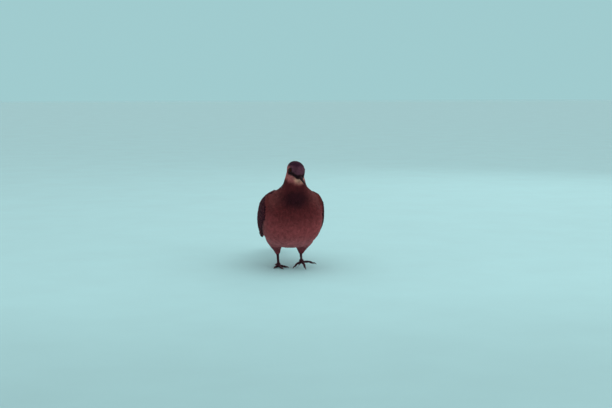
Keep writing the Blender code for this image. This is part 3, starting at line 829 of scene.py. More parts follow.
def layFeathers(title, vane, paths, seed, material, ownPatches=True, soft=0.4):
    rng = np.random.default_rng(seed)
    places, turned = paths["places"], paths["outward"]
    count, steps = len(places), places.shape[1] - 1
    shape, faces = vane
    share = shape[:, 1] * steps
    low = np.clip(np.floor(share).astype(int), 0, steps - 1)
    part = (share - low)[None, :, None]
    start, end = places[:, low], places[:, low + 1]
    spots = start * (1 - part) + end * part
    held = np.clip(part, 0, 1)
    up = unit(turned[:, low] * (1 - held) + turned[:, low + 1] * held)
    forward = unit(end - start)
    aside = unit(np.cross(forward, up))
    roll = paths["roll"][:, None, None]
    aside, up = aside * np.cos(roll) + up * np.sin(roll), up * np.cos(roll) - aside * np.sin(roll)
    half = paths["half"][:, None, None]
    level, across = np.clip(shape[:, 1], 0, 1), np.clip(shape[:, 0], -1, 1)
    sink = paths["rootDepth"][:, None] * (1 - level)[None] + paths["tipDepth"][:, None]
    rise = shape[None, :, 2] * paths["half"][:, None] - sink
    length = np.linalg.norm(places[:, -1] - places[:, 0], axis=1)
    ragged = rng.normal(0, paths["ragged"], (count, len(shape))) * smoothStep(level, 0.7, 1.0)
    spots = spots + aside * shape[None, :, :1] * half + up * rise[..., None]
    spots = spots + forward * (ragged * length[:, None])[..., None]
    sizes = np.array([len(face) for face in faces])
    corners = np.concatenate([np.array(face) for face in faces])
    mesh = bpy.data.meshes.new(title)
    mesh.vertices.add(count * len(shape))
    mesh.vertices.foreach_set("co", spots.astype(np.float32).ravel())
    allCorners = (corners[None, :] + (np.arange(count) * len(shape))[:, None]).ravel()
    mesh.loops.add(len(allCorners))
    mesh.loops.foreach_set("vertex_index", allCorners.astype(np.int32))
    allSizes = np.tile(sizes, count)
    mesh.polygons.add(len(allSizes))
    mesh.polygons.foreach_set("loop_start", (np.cumsum(allSizes) - allSizes).astype(np.int32))
    mesh.polygons.foreach_set("use_smooth", np.ones(len(allSizes), dtype=bool))
    chance = np.repeat(rng.random(count), len(shape))
    addVectors(mesh, "vane", np.stack([np.tile(level, count), np.tile(across, count), chance], axis=1))
    addVectors(mesh, "rootPlace", np.repeat(paths["roots"], len(shape), axis=0))
    within = np.stack([across / 2, level - 0.5], axis=1)  # -0.5 to 0.5 each way
    if ownPatches:  # large patterned feathers, side by side on the map
        grid = math.ceil(math.sqrt(count))
        cell = np.stack([np.arange(count) % grid, np.arange(count) // grid], axis=1) / grid
        flat = cell[:, None, :] + (within[None] * mapBuild["cellShare"] + 0.5) / grid
    else:
        flat = skinMapAt(paths["roots"])[:, None, :] + within[None] * mapBuild["smallSize"]
    flat = np.clip(flat, mapBuild["margin"], 1 - mapBuild["margin"]).reshape(-1, 2)[allCorners]
    layer = mesh.uv_layers.new(name="OFBake")
    layer.data.foreach_set("uv", flat.astype(np.float32).ravel())
    mesh.update(calc_edges=True)
    mesh.validate()
    if soft:  # the coat is shaded as one soft surface more than feather by feather
        facing = np.empty(count * len(shape) * 3, dtype=np.float32)
        mesh.vertices.foreach_get("normal", facing)
        body = np.broadcast_to(up, spots.shape).reshape(-1, 3)
        mesh.normals_split_custom_set_from_vertices(unit(facing.reshape(-1, 3) * (1 - soft) + body * soft))
    piece = bpy.data.objects.new(title, mesh)
    bpy.context.scene.collection.objects.link(piece)
    mesh.materials.append(material)
    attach(piece, "root")
    print(f"{title}: {count} feathers, {count * int((sizes - 2).sum())} triangles")
    return piece


wingBuild = {
    "columns": 90,  # places along the wing's surface map
    "rows": 28,  # and across it
    "depthShares": (0.03, 0.97),
    # y and z of the line that the wing wraps round, in front and behind
    "axis": ((-0.1007, 0.088), (0.0813, 0.059)),
    "voxel": 1.1 * mm,
    "rounding": 8,
    "evening": 6,
    "angles": (4.0, 140.0, 1.5),  # degrees round that line, from, to and step
}


def wingSurface(word):
    # the wing's outer face as a grid of places, from its wrist back and from its upper edge down
    side = sides[word]
    names = ["wing_" + word, "primaries_" + word]
    form = fused(names, "wing_form", wingBuild["voxel"], wingBuild["rounding"])
    tree = treeOf(form)
    low, high = boxOf(*names)
    ys = np.linspace(low.y + 1.5 * mm, high.y - 1.0 * mm, wingBuild["columns"])
    grid = np.empty((len(ys), wingBuild["rows"], 3))
    for i, y in enumerate(ys):
        z = readOff(y, wingBuild["axis"])
        hits = []
        for angle in np.radians(np.arange(*wingBuild["angles"])):
            way = Vector((side * math.sin(angle), 0, math.cos(angle)))
            spot, face, _, _ = tree.ray_cast(Vector((0, y, z)) + way * 0.1, -way, 0.1)
            if spot and face.dot(way) > 0.1:
                hits.append(spot)
        line = np.array(hits)
        run = runAlong(line)
        grid[i] = lineAt(np.linspace(*wingBuild["depthShares"], wingBuild["rows"]) * run[-1], run, line)
    bpy.data.objects.remove(form, do_unlink=True)
    for _ in range(wingBuild["evening"]):  # evens out the form's own facets
        grid[1:-1, 1:-1] = (grid[:-2, 1:-1] + grid[2:, 1:-1] + grid[1:-1, :-2] + grid[1:-1, 2:]) / 4
    outward = unit(np.cross(np.gradient(grid, axis=0), np.gradient(grid, axis=1))) * -side
    if outward[len(ys) // 2, wingBuild["rows"] // 2, 0] * side < 0:
        outward = -outward
    return grid, outward, ys


wingMaps = {word: wingSurface(word) for word in sides}


def wingPlaces(places):
    # how far back from the nearer wing's wrist each place is, its share of that wing's depth
    # and how far off the wing it is
    far, share, gap = np.zeros(len(places)), np.zeros(len(places)), np.ones(len(places))
    for word, side in sides.items():
        grid, _, ys = wingMaps[word]
        tree = pointTree(grid.reshape(-1, 3))
        for i in np.flatnonzero(places[:, 0] * side > 0):
            _, index, gap[i] = tree.find(places[i])
            column, row = divmod(index, grid.shape[1])
            far[i], share[i] = ys[column] - ys[0], row / (grid.shape[1] - 1)
    return far, share, gap


coatBuild = {
    "lengths": ((0, 1.0), (5, 1.7), (14, 2.5), (24, 3.4), (36, 4.8), (50, 7.5), (80, 9.5), (130, 11.0),
                (160, 12.5), (230, 14.0)),  # mm of feather at each mm from the bill
    "spacing": 0.185,  # of the length
    "eyeSpacing": 0.62,  # share of that next to the eyes
    "eyeNear": (6 * mm, 9 * mm),  # from the middle of each eye, where that gives way
    "halfWidth": 0.25,  # of the length
    "layer": 0.115,  # how far the root lies under the tip, of the length
    "thighLengths": ((0, 4.6), (8, 4.8), (20, 8.0)),  # by mm above the lowest feathers
    "thighFade": (12, 26),  # mm above them, where those lengths give way
    "hem": (3.5, -3.5, 0.48),  # mm above and below the thigh's end, and the share of its breadth left there
    "lieJitter": 8.0,  # degrees
    "eyeball": 4.0,  # mm
    "eyeRim": 2.05,  # mm kept clear round each eye
    "eyeReach": (6.2, 9),  # mm: feathers that end within the first and start within the second are cut
    "shortest": 0.9,  # mm
    "billClear": (-2 * mm, 2.2 * mm),  # behind the bill's root and round the bill
    "wingFront": 1.0 * mm,  # how far from the wrist the breast's feathers are still rooted
    "wingShorter": 0.62,  # feathers on the wings' edges and under their coverts, as a share of the body's
    "wingUnder": (0.06, 0.975),  # shares of the wing's depth where its coverts have a coat under them, painted dark as the shade beneath them
    "quillUnder": (0.7, 122 * mm),  # the same on the primaries, from this share and as far back as this
    "lowEdge": (0.9, 0.65),  # from this share of the depth that coat is shorter by this share
    "underDepth": 0.9 * mm,
    "edgeRise": 0.35 * mm,  # how far the breast's feathers stand out over the wings' front edges
    "backStart": 0.14,  # shares of the trunk's length
    "breastEnd": 0.30,
    "upward": 0.35,  # how far up the back's feathers face
    "soft": 0.6,  # how far it is shaded as one surface
    "uneven": (0.85, 1.15),  # how long and broad from feather to feather
    "thinShare": 0.35,  # most of a thin edge's thickness that the roots are sunk by
    "seed": 11,
}
# the small coverts that wrap the wrist, in rows ahead of the wing's own feathers
wingFrontBuild = {
    "ahead": (2.8, 0.9, -0.9),  # mm of each row off the wing's own edge
    "apart": 2.3 * mm,  # from each feather to the next in its row
    "top": 0.03,  # share of the wing's depth where they start
    "reach": 90 * mm,  # how far back from the wrist they go along the lower edge
    "clear": 2.6 * mm,  # how far ahead the breast's own feathers stop
    "lengths": ((0, 6.0), (40, 6.6), (90, 10.5)),  # mm of feather at each mm back from the wrist
    "half": 0.30,  # of the length
    "rootDepth": 0.9 * mm,
    "tipDepths": (-0.4, -0.15),  # mm, so the tips stand proud
}


def featherLength(places):
    length = readOff(gapTo(places, billRoot) / mm, coatBuild["lengths"])
    for word in sides:
        low = boxOf("thigh_" + word)[0]
        above = (places[:, 2] - low.z) / mm
        near = 1 - smoothStep(above, *coatBuild["thighFade"])
        length = length * (1 - near) + readOff(above, coatBuild["thighLengths"]) * near
    return length * mm


def coatSpacing(places):
    spacing = featherLength(places) * coatBuild["spacing"]
    least = coatBuild["eyeSpacing"]
    for word in sides:
        gap = gapTo(places, middleOf("eye_" + word))
        spacing = spacing * (least + (1 - least) * smoothStep(gap, *coatBuild["eyeNear"]))
    return spacing


def closedIn(places):
    # the thighs' lowest feathers close in round the legs
    start, end, left = coatBuild["hem"]
    for word, side in sides.items():
        thigh = pointsOf(nodes["thigh_" + word])
        low = thigh[:, 2].min()
        heart = thigh[thigh[:, 2] < low + 1.5 * mm, :2].mean(axis=0)
        own = places[:, :1, 0] * side > 0
        above = (places[..., 2] - low) / mm
        pull = np.where(own, (1 - left) * (1 - smoothStep(above, end, start)), 0)[..., None]
        places[..., :2] += (heart - places[..., :2]) * pull
    return places


def nearestNode(places, names):
    trees = [treeOf(nodes[name]) for name in names]
    return np.array([
        names[int(np.argmin([tree.find_nearest(Vector(place))[3] for tree in trees]))] for place in places
    ])


def clearOfEyes(roots, ways, length):
    # which roots stand clear of the eyes, and lengths that keep the feathers round each eye out of it
    clear = np.ones(len(roots), dtype=bool)
    endsIn, rootedIn = coatBuild["eyeReach"]
    for word in sides:
        eye = middleOf("eye_" + word)
        gap = gapTo(roots, eye) / mm
        reach = np.sqrt(np.maximum(gap ** 2 - coatBuild["eyeball"] ** 2, 0)) - coatBuild["eyeRim"]
        clear &= reach > 0
        crossing = (gapTo(roots + ways * length[:, None], eye) / mm < endsIn) & (gap < rootedIn)
        cut = np.maximum(reach, coatBuild["shortest"]) * mm * 0.9
        length = np.where(crossing, np.minimum(length, cut), length)
    return clear, length


def makeCoat():
    rng = np.random.default_rng(coatBuild["seed"])
    roots, outward = scatter(outerForm, coatSpacing, coatBuild["seed"])
    home = nearestNode(roots, outerNodes)
    length = featherLength(roots)
    ways = turnedWays(lieAt(roots, outward), outward, coatBuild["lieJitter"], rng)
    far, wingShare, wingGap = wingPlaces(roots)
    onWing = np.isin(home, ["wing_right", "wing_left"])
    onQuills = np.isin(home, ["primaries_right", "primaries_left"])
    overEdge = onWing & (far < coatBuild["wingFront"])
    top, bottom = coatBuild["wingUnder"]
    quillTop, quillBack = coatBuild["quillUnder"]
    under = (onWing & ~overEdge & (wingShare > top)) | (onQuills & (wingShare > quillTop) & (far < quillBack))
    under &= wingShare < bottom
    atEdge = (far < 2 * mm) | ((wingShare > 0.95) & (far < wingFrontBuild["reach"]))
    keep = (home != "tail") & (~onWing | overEdge | under) & (~onQuills | under)
    keep &= ~(atEdge & (overEdge | ((home == "trunk") & (wingGap < wingFrontBuild["clear"]))))
    length = np.where(onWing | onQuills, length * coatBuild["wingShorter"], length)
    lowShare, lowShorter = coatBuild["lowEdge"]
    length = np.where(under & (wingShare > lowShare), length * lowShorter, length)
    clear, length = clearOfEyes(roots, ways, length)
    billAxis = np.array((billTip - billRoot).normalized())
    fromRoot = roots - np.array(billRoot)
    ahead = fromRoot @ billAxis
    aside = np.linalg.norm(fromRoot - ahead[:, None] * billAxis, axis=1)
    billBack, billRound = coatBuild["billClear"]
    keep &= clear & ~((ahead > billBack) & (aside < billRound))
    smallVane, bodyVane = modelVane("small_vane"), modelVane("body_vane")
    fine, broad = makeCoatMaterial("faceFeathers"), makeCoatMaterial("bodyFeathers")
    # painted shade: the dark coat under the wing's own feathers
    shaded = makeFeatherMaterial("underWingShade")
    share = (roots[:, 1] - trunkLow.y) / (trunkHigh.y - trunkLow.y)
    isTrunk = (home == "trunk") | overEdge
    isBack = isTrunk & (share > coatBuild["backStart"]) & (outward[:, 2] > coatBuild["upward"])
    isBreast = isTrunk & (share <= coatBuild["breastEnd"]) & ~isBack
    groups = {
        "coat_head": (home == "head", smallVane, fine, "crown"),
        "coat_neck": (home == "neck", smallVane, fine, "plumage"),
        "coat_breast": (isBreast, bodyVane, broad, "plumage"),
        "coat_belly": (isTrunk & ~isBreast & ~isBack, bodyVane, broad, "plumage"),
        "coat_back": (isBack, bodyVane, broad, "plumage"),
        "coat_thighs": (np.isin(home, ["thigh_right", "thigh_left"]), smallVane, broad, "plumage"),
        "coat_wings": (under, bodyVane, shaded, "wing"),
    }
    for number, (title, (chosen, vane, material, slot)) in enumerate(groups.items(), 1):
        chosen = chosen & keep
        spots, up, size = roots[chosen], outward[chosen], length[chosen]
        count = len(spots)
        size = size * rng.uniform(*coatBuild["uneven"], count)
        places, turned = walk(spots, up, ways[chosen], size, 3 if vane is smallVane else 4, outerTree)
        depth = np.minimum(coatDepth(spots), roomUnder(outerTree, spots, up) * coatBuild["thinShare"])
        lower = np.where(overEdge[chosen], -coatBuild["edgeRise"], 0)
        lower = np.where(under[chosen], coatBuild["underDepth"], lower)
        paths = pathsOf(
            places, turned, size * coatBuild["halfWidth"] * rng.uniform(*coatBuild["uneven"], count),
            np.minimum(depth * 0.9, size * coatBuild["layer"]),
            depth * rng.uniform(-0.02, 0.10, count) + lower, rng.normal(0, math.radians(3), count), 0.05
        )
        if title == "coat_thighs":
            paths["places"] = closedIn(places)
        layFeathers(title, vane, paths, coatBuild["seed"] + number, material, False, coatBuild["soft"])


makeCoat()

# Each run of feathers is (name, how many, tips' distance from the wrist in mm at the top and at the bottom,
# share of the wing's depth at the top and at the bottom, length, half width, root depth, tip depths).
wingRuns = (
    ("primaries", 9, (92, 182), (0.58, 0.97), (112, 150), 6.6, 1.9, (0.9, 1.3)),
    ("secondaries", 11, (116, 90), (0.14, 0.90), (50, 44), 7.2, 1.6, (0.7, 0.7)),
    ("primaryCoverts", 7, (74, 92), (0.74, 0.93), (26, 28), 4.6, 1.5, (0.6, 0.6)),
    ("alula", 3, (60, 72), (0.88, 0.92), (20, 22), 3.8, 1.4, (0.5, 0.5)),
    ("tertials", 5, (146, 112), (0.34, 0.04), (62, 46), 9.4, 1.2, (0.45, 0.1)),
    ("greaterCoverts", 15, (96, 64), (0.06, 0.95), (27, 23), 5.6, 1.5, (0.35, 0.4)),
    ("medianCoverts", 16, (78, 50), (0.04, 0.97), (18, 15), 4.9, 1.35, (0.25, 0.3)),
    ("lesserCoverts", 17, (67, 42), (0.04, 0.98), (14, 12), 4.3, 1.25, (0.18, 0.2)),
    ("lesserCoverts", 17, (58, 35), (0.03, 0.98), (13, 11), 4.1, 1.2, (0.14, 0.16)),
    ("lesserCoverts", 17, (50, 29), (0.03, 0.98), (12, 10), 3.9, 1.15, (0.1, 0.12)),
    ("lesserCoverts", 16, (42, 24), (0.03, 0.98), (11, 9), 3.8, 1.1, (0.08, 0.1)),
    ("lesserCoverts", 15, (35, 19), (0.04, 0.98), (10, 8), 3.6, 1.05, (0.05, 0.06)),
    ("lesserCoverts", 14, (28, 15), (0.05, 0.97), (9, 8), 3.4, 1.0, (0.02, 0.02)),
    ("lesserCoverts", 12, (22, 11), (0.06, 0.95), (8, 7), 3.2, 0.95, (0.0, 0.0)),
    ("lesserCoverts", 10, (16, 8), (0.08, 0.94), (7, 6), 3.0, 0.9, (-0.02, -0.02)),
    ("lesserCoverts", 10, (11, 5), (0.06, 0.94), (6, 4.5), 2.8, 0.8, (-0.04, -0.04)),
)
# the primaries' tips are not evenly spread: mm from the wrist at shares of the run
primaryTips = ((0, 108), (0.5, 152), (0.8, 181), (1, 178))


def gridAt(values, column, row):
    column = np.clip(column, 0, values.shape[0] - 1.001)
    row = np.clip(row, 0, values.shape[1] - 1.001)
    i, j = column.astype(int), row.astype(int)
    u, v = (column - i)[..., None], (row - j)[..., None]
    top = values[i, j] * (1 - v) + values[i, j + 1] * v
    bottom = values[i + 1, j] * (1 - v) + values[i + 1, j + 1] * v
    return top * (1 - u) + bottom * u


def wingPaths(surface, run, rng, steps=8):
    grid, outward, ys = surface
    name, count, tips, shares, lengths, half, rootDepth, tipDepths = run
    order = np.linspace(0, 1, count)
    tip = (readOff(order, primaryTips) if name == "primaries" else between(tips, order)) * mm + ys[0]
    loose = 1.0 if lengths[0] < 40 else 0.4
    tip = tip + rng.normal(0, 1.0, count) * loose * mm
    share = between(shares, order) + rng.normal(0, 0.006, count) * loose
    level = np.linspace(0, 1, steps + 1)[None, :]
    y = np.maximum(tip[:, None] - (between(lengths, order) * mm)[:, None] * (1 - level), ys[0])
    column = (y - ys[0]) / (ys[1] - ys[0])
    swing = rng.normal(0, 0.010, count)[:, None] * loose * (level - 0.5)
    row = (share[:, None] + swing) * (grid.shape[1] - 1)
    return pathsOf(
        gridAt(grid, column, row), unit(gridAt(outward, column, row)),
        half * mm * rng.uniform(0.88, 1.10, count), rootDepth * mm, between(tipDepths, order) * mm,
        rng.normal(0, math.radians(2.5), count), 0.012
    )


def makeWingFront(vane, material):
    # they follow the wing's front edge down and then its lower edge back
    rng = np.random.default_rng(91)
    apart = wingFrontBuild["apart"]
    found = []
    for word in sides:
        grid, _, ys = wingMaps[word]
        start = round(wingFrontBuild["top"] * (grid.shape[1] - 1))
        stop = int(np.searchsorted(ys, ys[0] + wingFrontBuild["reach"]))
        edge = np.concatenate([grid[0, start:-1], grid[:stop, -1]])
        away = np.concatenate([grid[0, start:-1] - grid[3, start:-1], grid[:stop, -1] - grid[:stop, -4]])
        for _ in range(4):
            away[1:-1] = (away[:-2] + away[1:-1] + away[2:]) / 3
        away = unit(away)
        run = runAlong(edge)
        for number, ahead in enumerate(wingFrontBuild["ahead"]):
            marks = np.arange(apart * 0.5 * (number % 2), run[-1], apart)
            for mark in marks + rng.normal(0, 0.25 * mm, len(marks)):
                place = lineAt(mark, run, edge) + lineAt(mark, run, away) * ahead * mm
                found.append(outerTree.find_nearest(Vector(place))[:2])
    roots, outward = (np.array(values) for values in zip(*found))
    count = len(roots)
    length = readOff(wingPlaces(roots)[0] / mm, wingFrontBuild["lengths"]) * mm
    length = length * rng.uniform(0.85, 1.15, count)
    ways = turnedWays(lieAt(roots, outward), outward, 5.0, rng)
    paths = pathsOf(
        *walk(roots, outward, ways, length, 4, outerTree),
        length * wingFrontBuild["half"] * rng.uniform(0.9, 1.1, count), wingFrontBuild["rootDepth"],
        rng.uniform(*wingFrontBuild["tipDepths"], count) * mm, rng.normal(0, math.radians(3), count), 0.02
    )
    layFeathers("wing_front_coverts", vane, paths, 92, material)


mantleBuild = {
    "lengths": ((-100, 7.5), (-70, 11.0), (-35, 15.0), (0, 18.0)),  # mm of feather at each mm along the bird
    "halfWidth": 0.33,  # of the length
    "spacing": 0.27,  # of the length
    "voxel": 1.8 * mm,
    "rounding": 22,
    "span": (-94 * mm, -4 * mm),  # where they are rooted along the bird
    "upward": 0.3,  # how far up they face
    "wingShare": 0.34,  # how far down the wings they reach
    "wingBack": 12 * mm,  # how far behind the wrist
    "rootDepth": 1.2 * mm,
    "tipDepths": (-0.65, -0.35),  # mm, so the tips stand proud
    "flatter": 0.78,  # feathers that would fold over an edge by more than this cosine are left out
}


def mostBent(ways):
    return (ways[:, :1] * ways).sum(axis=2).min(axis=1)


def makeMantle(vane, material):
    # the fringed feathers of the upper back, which lie over the wings' upper edges
    rng = np.random.default_rng(71)

    def lengthAt(places):
        return readOff(places[:, 1] / mm, mantleBuild["lengths"]) * mm

    drape = fused(outerNodes[:-1], "drape", mantleBuild["voxel"], mantleBuild["rounding"])
    tree = treeOf(drape)
    roots, outward = scatter(drape, lambda places: lengthAt(places) * mantleBuild["spacing"], 72)
    bpy.data.objects.remove(drape, do_unlink=True)
    home = nearestNode(roots, outerNodes)
    far, share, _ = wingPlaces(roots)
    onWing = np.isin(home, ["wing_right", "wing_left"]) & (far > mantleBuild["wingBack"])
    front, back = mantleBuild["span"]
    chosen = (roots[:, 1] > front) & (roots[:, 1] < back) & (outward[:, 2] > mantleBuild["upward"])
    chosen &= (home == "trunk") | (onWing & (share < mantleBuild["wingShare"]))
    roots, outward = roots[chosen], outward[chosen]
    length = lengthAt(roots) * rng.uniform(0.88, 1.12, len(roots))
    ways = turnedWays(lieAt(roots, outward), outward, 6.0, rng)
    places, turned = walk(roots, outward, ways, length, 5, tree)
    bent, swerve = mostBent(turned), mostBent(unit(np.diff(places, axis=1)))
    flat = (bent > mantleBuild["flatter"]) & (swerve > mantleBuild["flatter"])
    count = flat.sum()
    paths = pathsOf(
        places[flat], turned[flat], length[flat] * mantleBuild["halfWidth"] * rng.uniform(0.9, 1.1, count),
        mantleBuild["rootDepth"], rng.uniform(*mantleBuild["tipDepths"], count) * mm,
        rng.normal(0, math.radians(3), count), 0.012
    )
    layFeathers("mantle_feathers", vane, paths, 73, material)


neckBuild = {
    "rows": 5,
    "inRow": 6,
    "start": 86.0,  # degrees round the neck from straight ahead, at the front of the patch
    "reach": 9.5,  # degrees from each feather to the next in its row
    "top": 132.0 * mm,
    "step": 2.5 * mm,  # from each row to the next
    "slant": 0.55 * mm,  # how much lower each feather lies than the one in front of it
    "length": 4.4 * mm,
    "half": 1.45 * mm,
    "rootDepth": 0.5 * mm,
    "tipRise": 0.12 * mm,
}


def makeNeckPatch(vane):
    # rows of small black feathers with pale ends on both sides of the neck
    rng = np.random.default_rng(81)
    heart = middleOf("neck")
    found = []
    for side in (-1, 1):
        for row in range(neckBuild["rows"]):
            for place in range(neckBuild["inRow"]):
                angle = math.radians(neckBuild["start"] + neckBuild["reach"] * (place + 0.5 * (row % 2)))
                height = neckBuild["top"] - neckBuild["step"] * row - neckBuild["slant"] * place
                way = Vector((side * math.sin(angle), -math.cos(angle), 0))
                found.append(outerTree.ray_cast(Vector((heart.x, heart.y, height)) + way * 0.05, -way)[:2])
    roots, outward = (np.array(values) for values in zip(*found))
    count = len(roots)
    length = neckBuild["length"] * rng.uniform(0.92, 1.08, count)
    ways = turnedWays(lieAt(roots, outward), outward, 3.0, rng)
    paths = pathsOf(
        *walk(roots, outward, ways, length, 4, outerTree),
        neckBuild["half"] * rng.uniform(0.92, 1.08, count),
        neckBuild["rootDepth"], -neckBuild["tipRise"], rng.normal(0, math.radians(2), count), 0.02
    )
    layFeathers("neck_patches", vane, paths, 82, makeFeatherMaterial("neckPatch"))


def makeWings():
    covertVane, flightVane = modelVane("covert_vane"), modelVane("flight_vane")
    covert, flight = makeFeatherMaterial("wingCoverts"), makeFeatherMaterial("flightFeathers")
    for number, word in enumerate(sides):
        rng = np.random.default_rng(31 + number)
        smallRuns, longRuns = [], []
        for run in wingRuns:
            chosen = longRuns if run[0] in ("primaries", "secondaries") else smallRuns
            chosen.append(wingPaths(wingMaps[word], run, rng))
        layFeathers("wing_coverts_" + word, covertVane, stacked(smallRuns), 41 + number, covert)
        quills = layFeathers("flight_feathers_" + word, flightVane, stacked(longRuns), 51 + number, flight,
                             soft=0.3)
        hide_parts("primaries_" + word)
    makeWingFront(covertVane, covert)
    makeMantle(covertVane, covert)
    makeNeckPatch(covertVane)


makeWings()
print("wings laid")

tailBuild = {
    "slope": 15,  # degrees down
    "rootAside": 1.2,  # mm from the middle to the inner pair's shafts
    "rootSpread": 0.9,  # mm aside for each pair
    "tipSpread": 2.35,
    "halfWidth": 7.4 * mm,
    "rootDepth": 0.6 * mm,
    "tipDepth": 0.1 * mm,
    "lower": 0.42 * mm,  # how much lower each pair lies than the one inside it
    "droop": 0.9 * mm,
    "roll": 0.02,
    "arch": 14,  # how far the outer feathers face aside
    "shorter": (0.0, 0.4, 1.0, 2.4, 4.6, 8.0),  # mm for each pair from the middle out
    "steps": 10,
}


def makeTail():
    low, high = boxOf("tail")
    rootY, topZ = low.y - 6 * mm, high.z - 1.2 * mm
    slope = math.radians(tailBuild["slope"])
    level = np.linspace(0, 1, tailBuild["steps"] + 1)
    rootSpread, tipSpread = tailBuild["rootSpread"], tailBuild["tipSpread"]
    parts = []
    for pair in reversed(range(len(tailBuild["shorter"]))):
        y = rootY + (high.y - tailBuild["shorter"][pair] * mm - rootY) * level
        z = topZ - (y - low.y) * math.tan(slope) - tailBuild["lower"] * pair - tailBuild["droop"] * level
        for side in (-1, 1):
            aside = tailBuild["rootAside"] + rootSpread * pair + (tipSpread - rootSpread) * pair * level
            x = side * aside * mm
            tilt = [x * tailBuild["arch"], np.full_like(x, math.sin(slope)), np.ones_like(x)]
            parts.append(pathsOf(
                np.stack([x, y, z], axis=1)[None], unit(np.stack(tilt, axis=1))[None], tailBuild["halfWidth"],
                tailBuild["rootDepth"], tailBuild["tipDepth"], side * tailBuild["roll"], 0.004
            ))
    vane = modelVane("tail_vane")
    outer, inner = makeFeatherMaterial("tailFeathers"), makeFeatherMaterial("tailCentre")
    fan = layFeathers("tail_fan", vane, stacked(parts[:-2]), 61, outer, soft=0.0)
    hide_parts("tail")
    layFeathers("tail_centre", vane, stacked(parts[-2:]), 62, inner, soft=0.0)


makeTail()

eyeBuild = {
    "radius": 4.25 * mm,
    "cornea": 0.28 * mm,  # how far the clear front stands proud of the ball
    "corneaReach": 38.0,  # degrees round the middle of the eye
    "gaze": (-0.97, 0.2, 0.08),  # aside, ahead and up
    # degrees round the middle between which the pupil ends, the inner ring ends and the outer ring begins
    "rings": ((21.8, 20.2), (22.0, 27.0), (29.0, 36.0)),
    "irisColours": ((0.026, 0.004, 0.002), (0.070, 0.011, 0.005)),
    # pupil, inner ring and outer ring
    "ringColours": ((0.002, 0.002, 0.002), (0.066, 0.014, 0.006), (0.004, 0.002, 0.003)),
}
lidBuild = {
    "inner": 2.62 * mm,  # radius of the opening
    # mm out from the middle of the eye and mm up from the opening's edge
    "profile": ((2.76, 0.16), (2.92, 0.22), (3.10, 0.16), (3.24, 0.02), (3.40, 0.0), (3.60, -0.02),
                (3.80, -0.22), (4.20, -0.70), (4.80, -1.30)),
    "long": 1.08,
    "tall": 0.80,
    "edgeReach": 1.09,  # the opening's edge follows the ball as far out as this, of the opening's radius
    "edgeOut": 0.03 * mm,
    "edgeSink": 0.05 * mm,
    "thickness": 0.18 * mm,
    "colours": ((0.012, 0.004, 0.006), (0.028, 0.008, 0.012)),
}


def gazeTurn(side):
    aside, forward, up = eyeBuild["gaze"]
    out = (headRight * side * aside + headAhead * forward + headUp * up).normalized()
    ahead = (headAhead - out * headAhead.dot(out)).normalized()
    return Matrix((ahead, out.cross(ahead), out)).transposed()


def placed(piece, turn, spot):
    piece.data.transform(Matrix.Translation(spot) @ turn.to_4x4())
    piece.data.update()


def makeEyeMaterial():
    made, tree, shader = newMaterial("eyeball")
    place = attribute(tree, "eyePlace")
    x, y, z = split(place)
    angle = times(math2("ARCCOSINE", z), 180 / math.pi)
    spot = gather(times(math2("ARCTAN2", y, x), 9.0), times(angle, 0.12), 0.0)
    fibre = noise(spot, 1.6, 3.0, 0.6)
    pupilReach, innerReach, rimReach = eyeBuild["rings"]
    pupil, inner, rim = eyeBuild["ringColours"]
    iris = blend(ramp(fibre, 0.3, 0.7), *eyeBuild["irisColours"])
    paint = blend(ramp(angle, *rimReach), blend(ramp(angle, *innerReach), inner, iris), rim)
    feedAll(shader, Base_Color=blend(ramp(angle, *pupilReach), paint, pupil),
            Roughness=ramp(fibre, 0.2, 0.8, 0.04, 0.07), Coat_Weight=0.04, Coat_Roughness=0.03,
            Specular_IOR_Level=0.03)
    bump(shader, noise(place, 6.0), 0.02, 0.02 * mm)
    return made


def makeLid(word, turn, material):
    inner, ballRadius = lidBuild["inner"], eyeBuild["radius"]
    lid = newPiece("eyelids_" + word, bpy.ops.mesh.primitive_circle_add, vertices=72, radius=inner)
    radius, height = inner, 0.0
    with editing(lid):
        for wide, high in lidBuild["profile"]:
            bpy.ops.mesh.extrude_region_move(TRANSFORM_OT_translate={"value": (0, 0, high * mm - height)})
            grow = wide * mm / radius
            bpy.ops.transform.resize(value=(grow, grow, 1), center_override=(0, 0, 0))
            radius, height = wide * mm, high * mm
        bpy.ops.mesh.select_all(action="SELECT")
        bpy.ops.transform.resize(value=(lidBuild["long"], lidBuild["tall"], 1), center_override=(0, 0, 0))
        bpy.ops.mesh.normals_make_consistent(inside=False)
    places = pointsOf(lid)
    reach = np.linalg.norm(places[:, :2], axis=1)
    places[:, 2] += math.sqrt(ballRadius ** 2 - inner ** 2)
    edge = reach < inner * lidBuild["edgeReach"]
    onBall = np.sqrt(np.maximum((ballRadius + lidBuild["edgeOut"]) ** 2 - reach ** 2, 0))
    places[edge, 2] = onBall[edge] - lidBuild["edgeSink"]
    setPoints(lid, places)
    applyModifier(lid, "SOLIDIFY", thickness=lidBuild["thickness"], offset=-1)
    applyModifier(lid, "SUBSURF", levels=1, render_levels=1)
    placed(lid, turn, middleOf("eye_" + word))
    dress(lid, material, "leg")


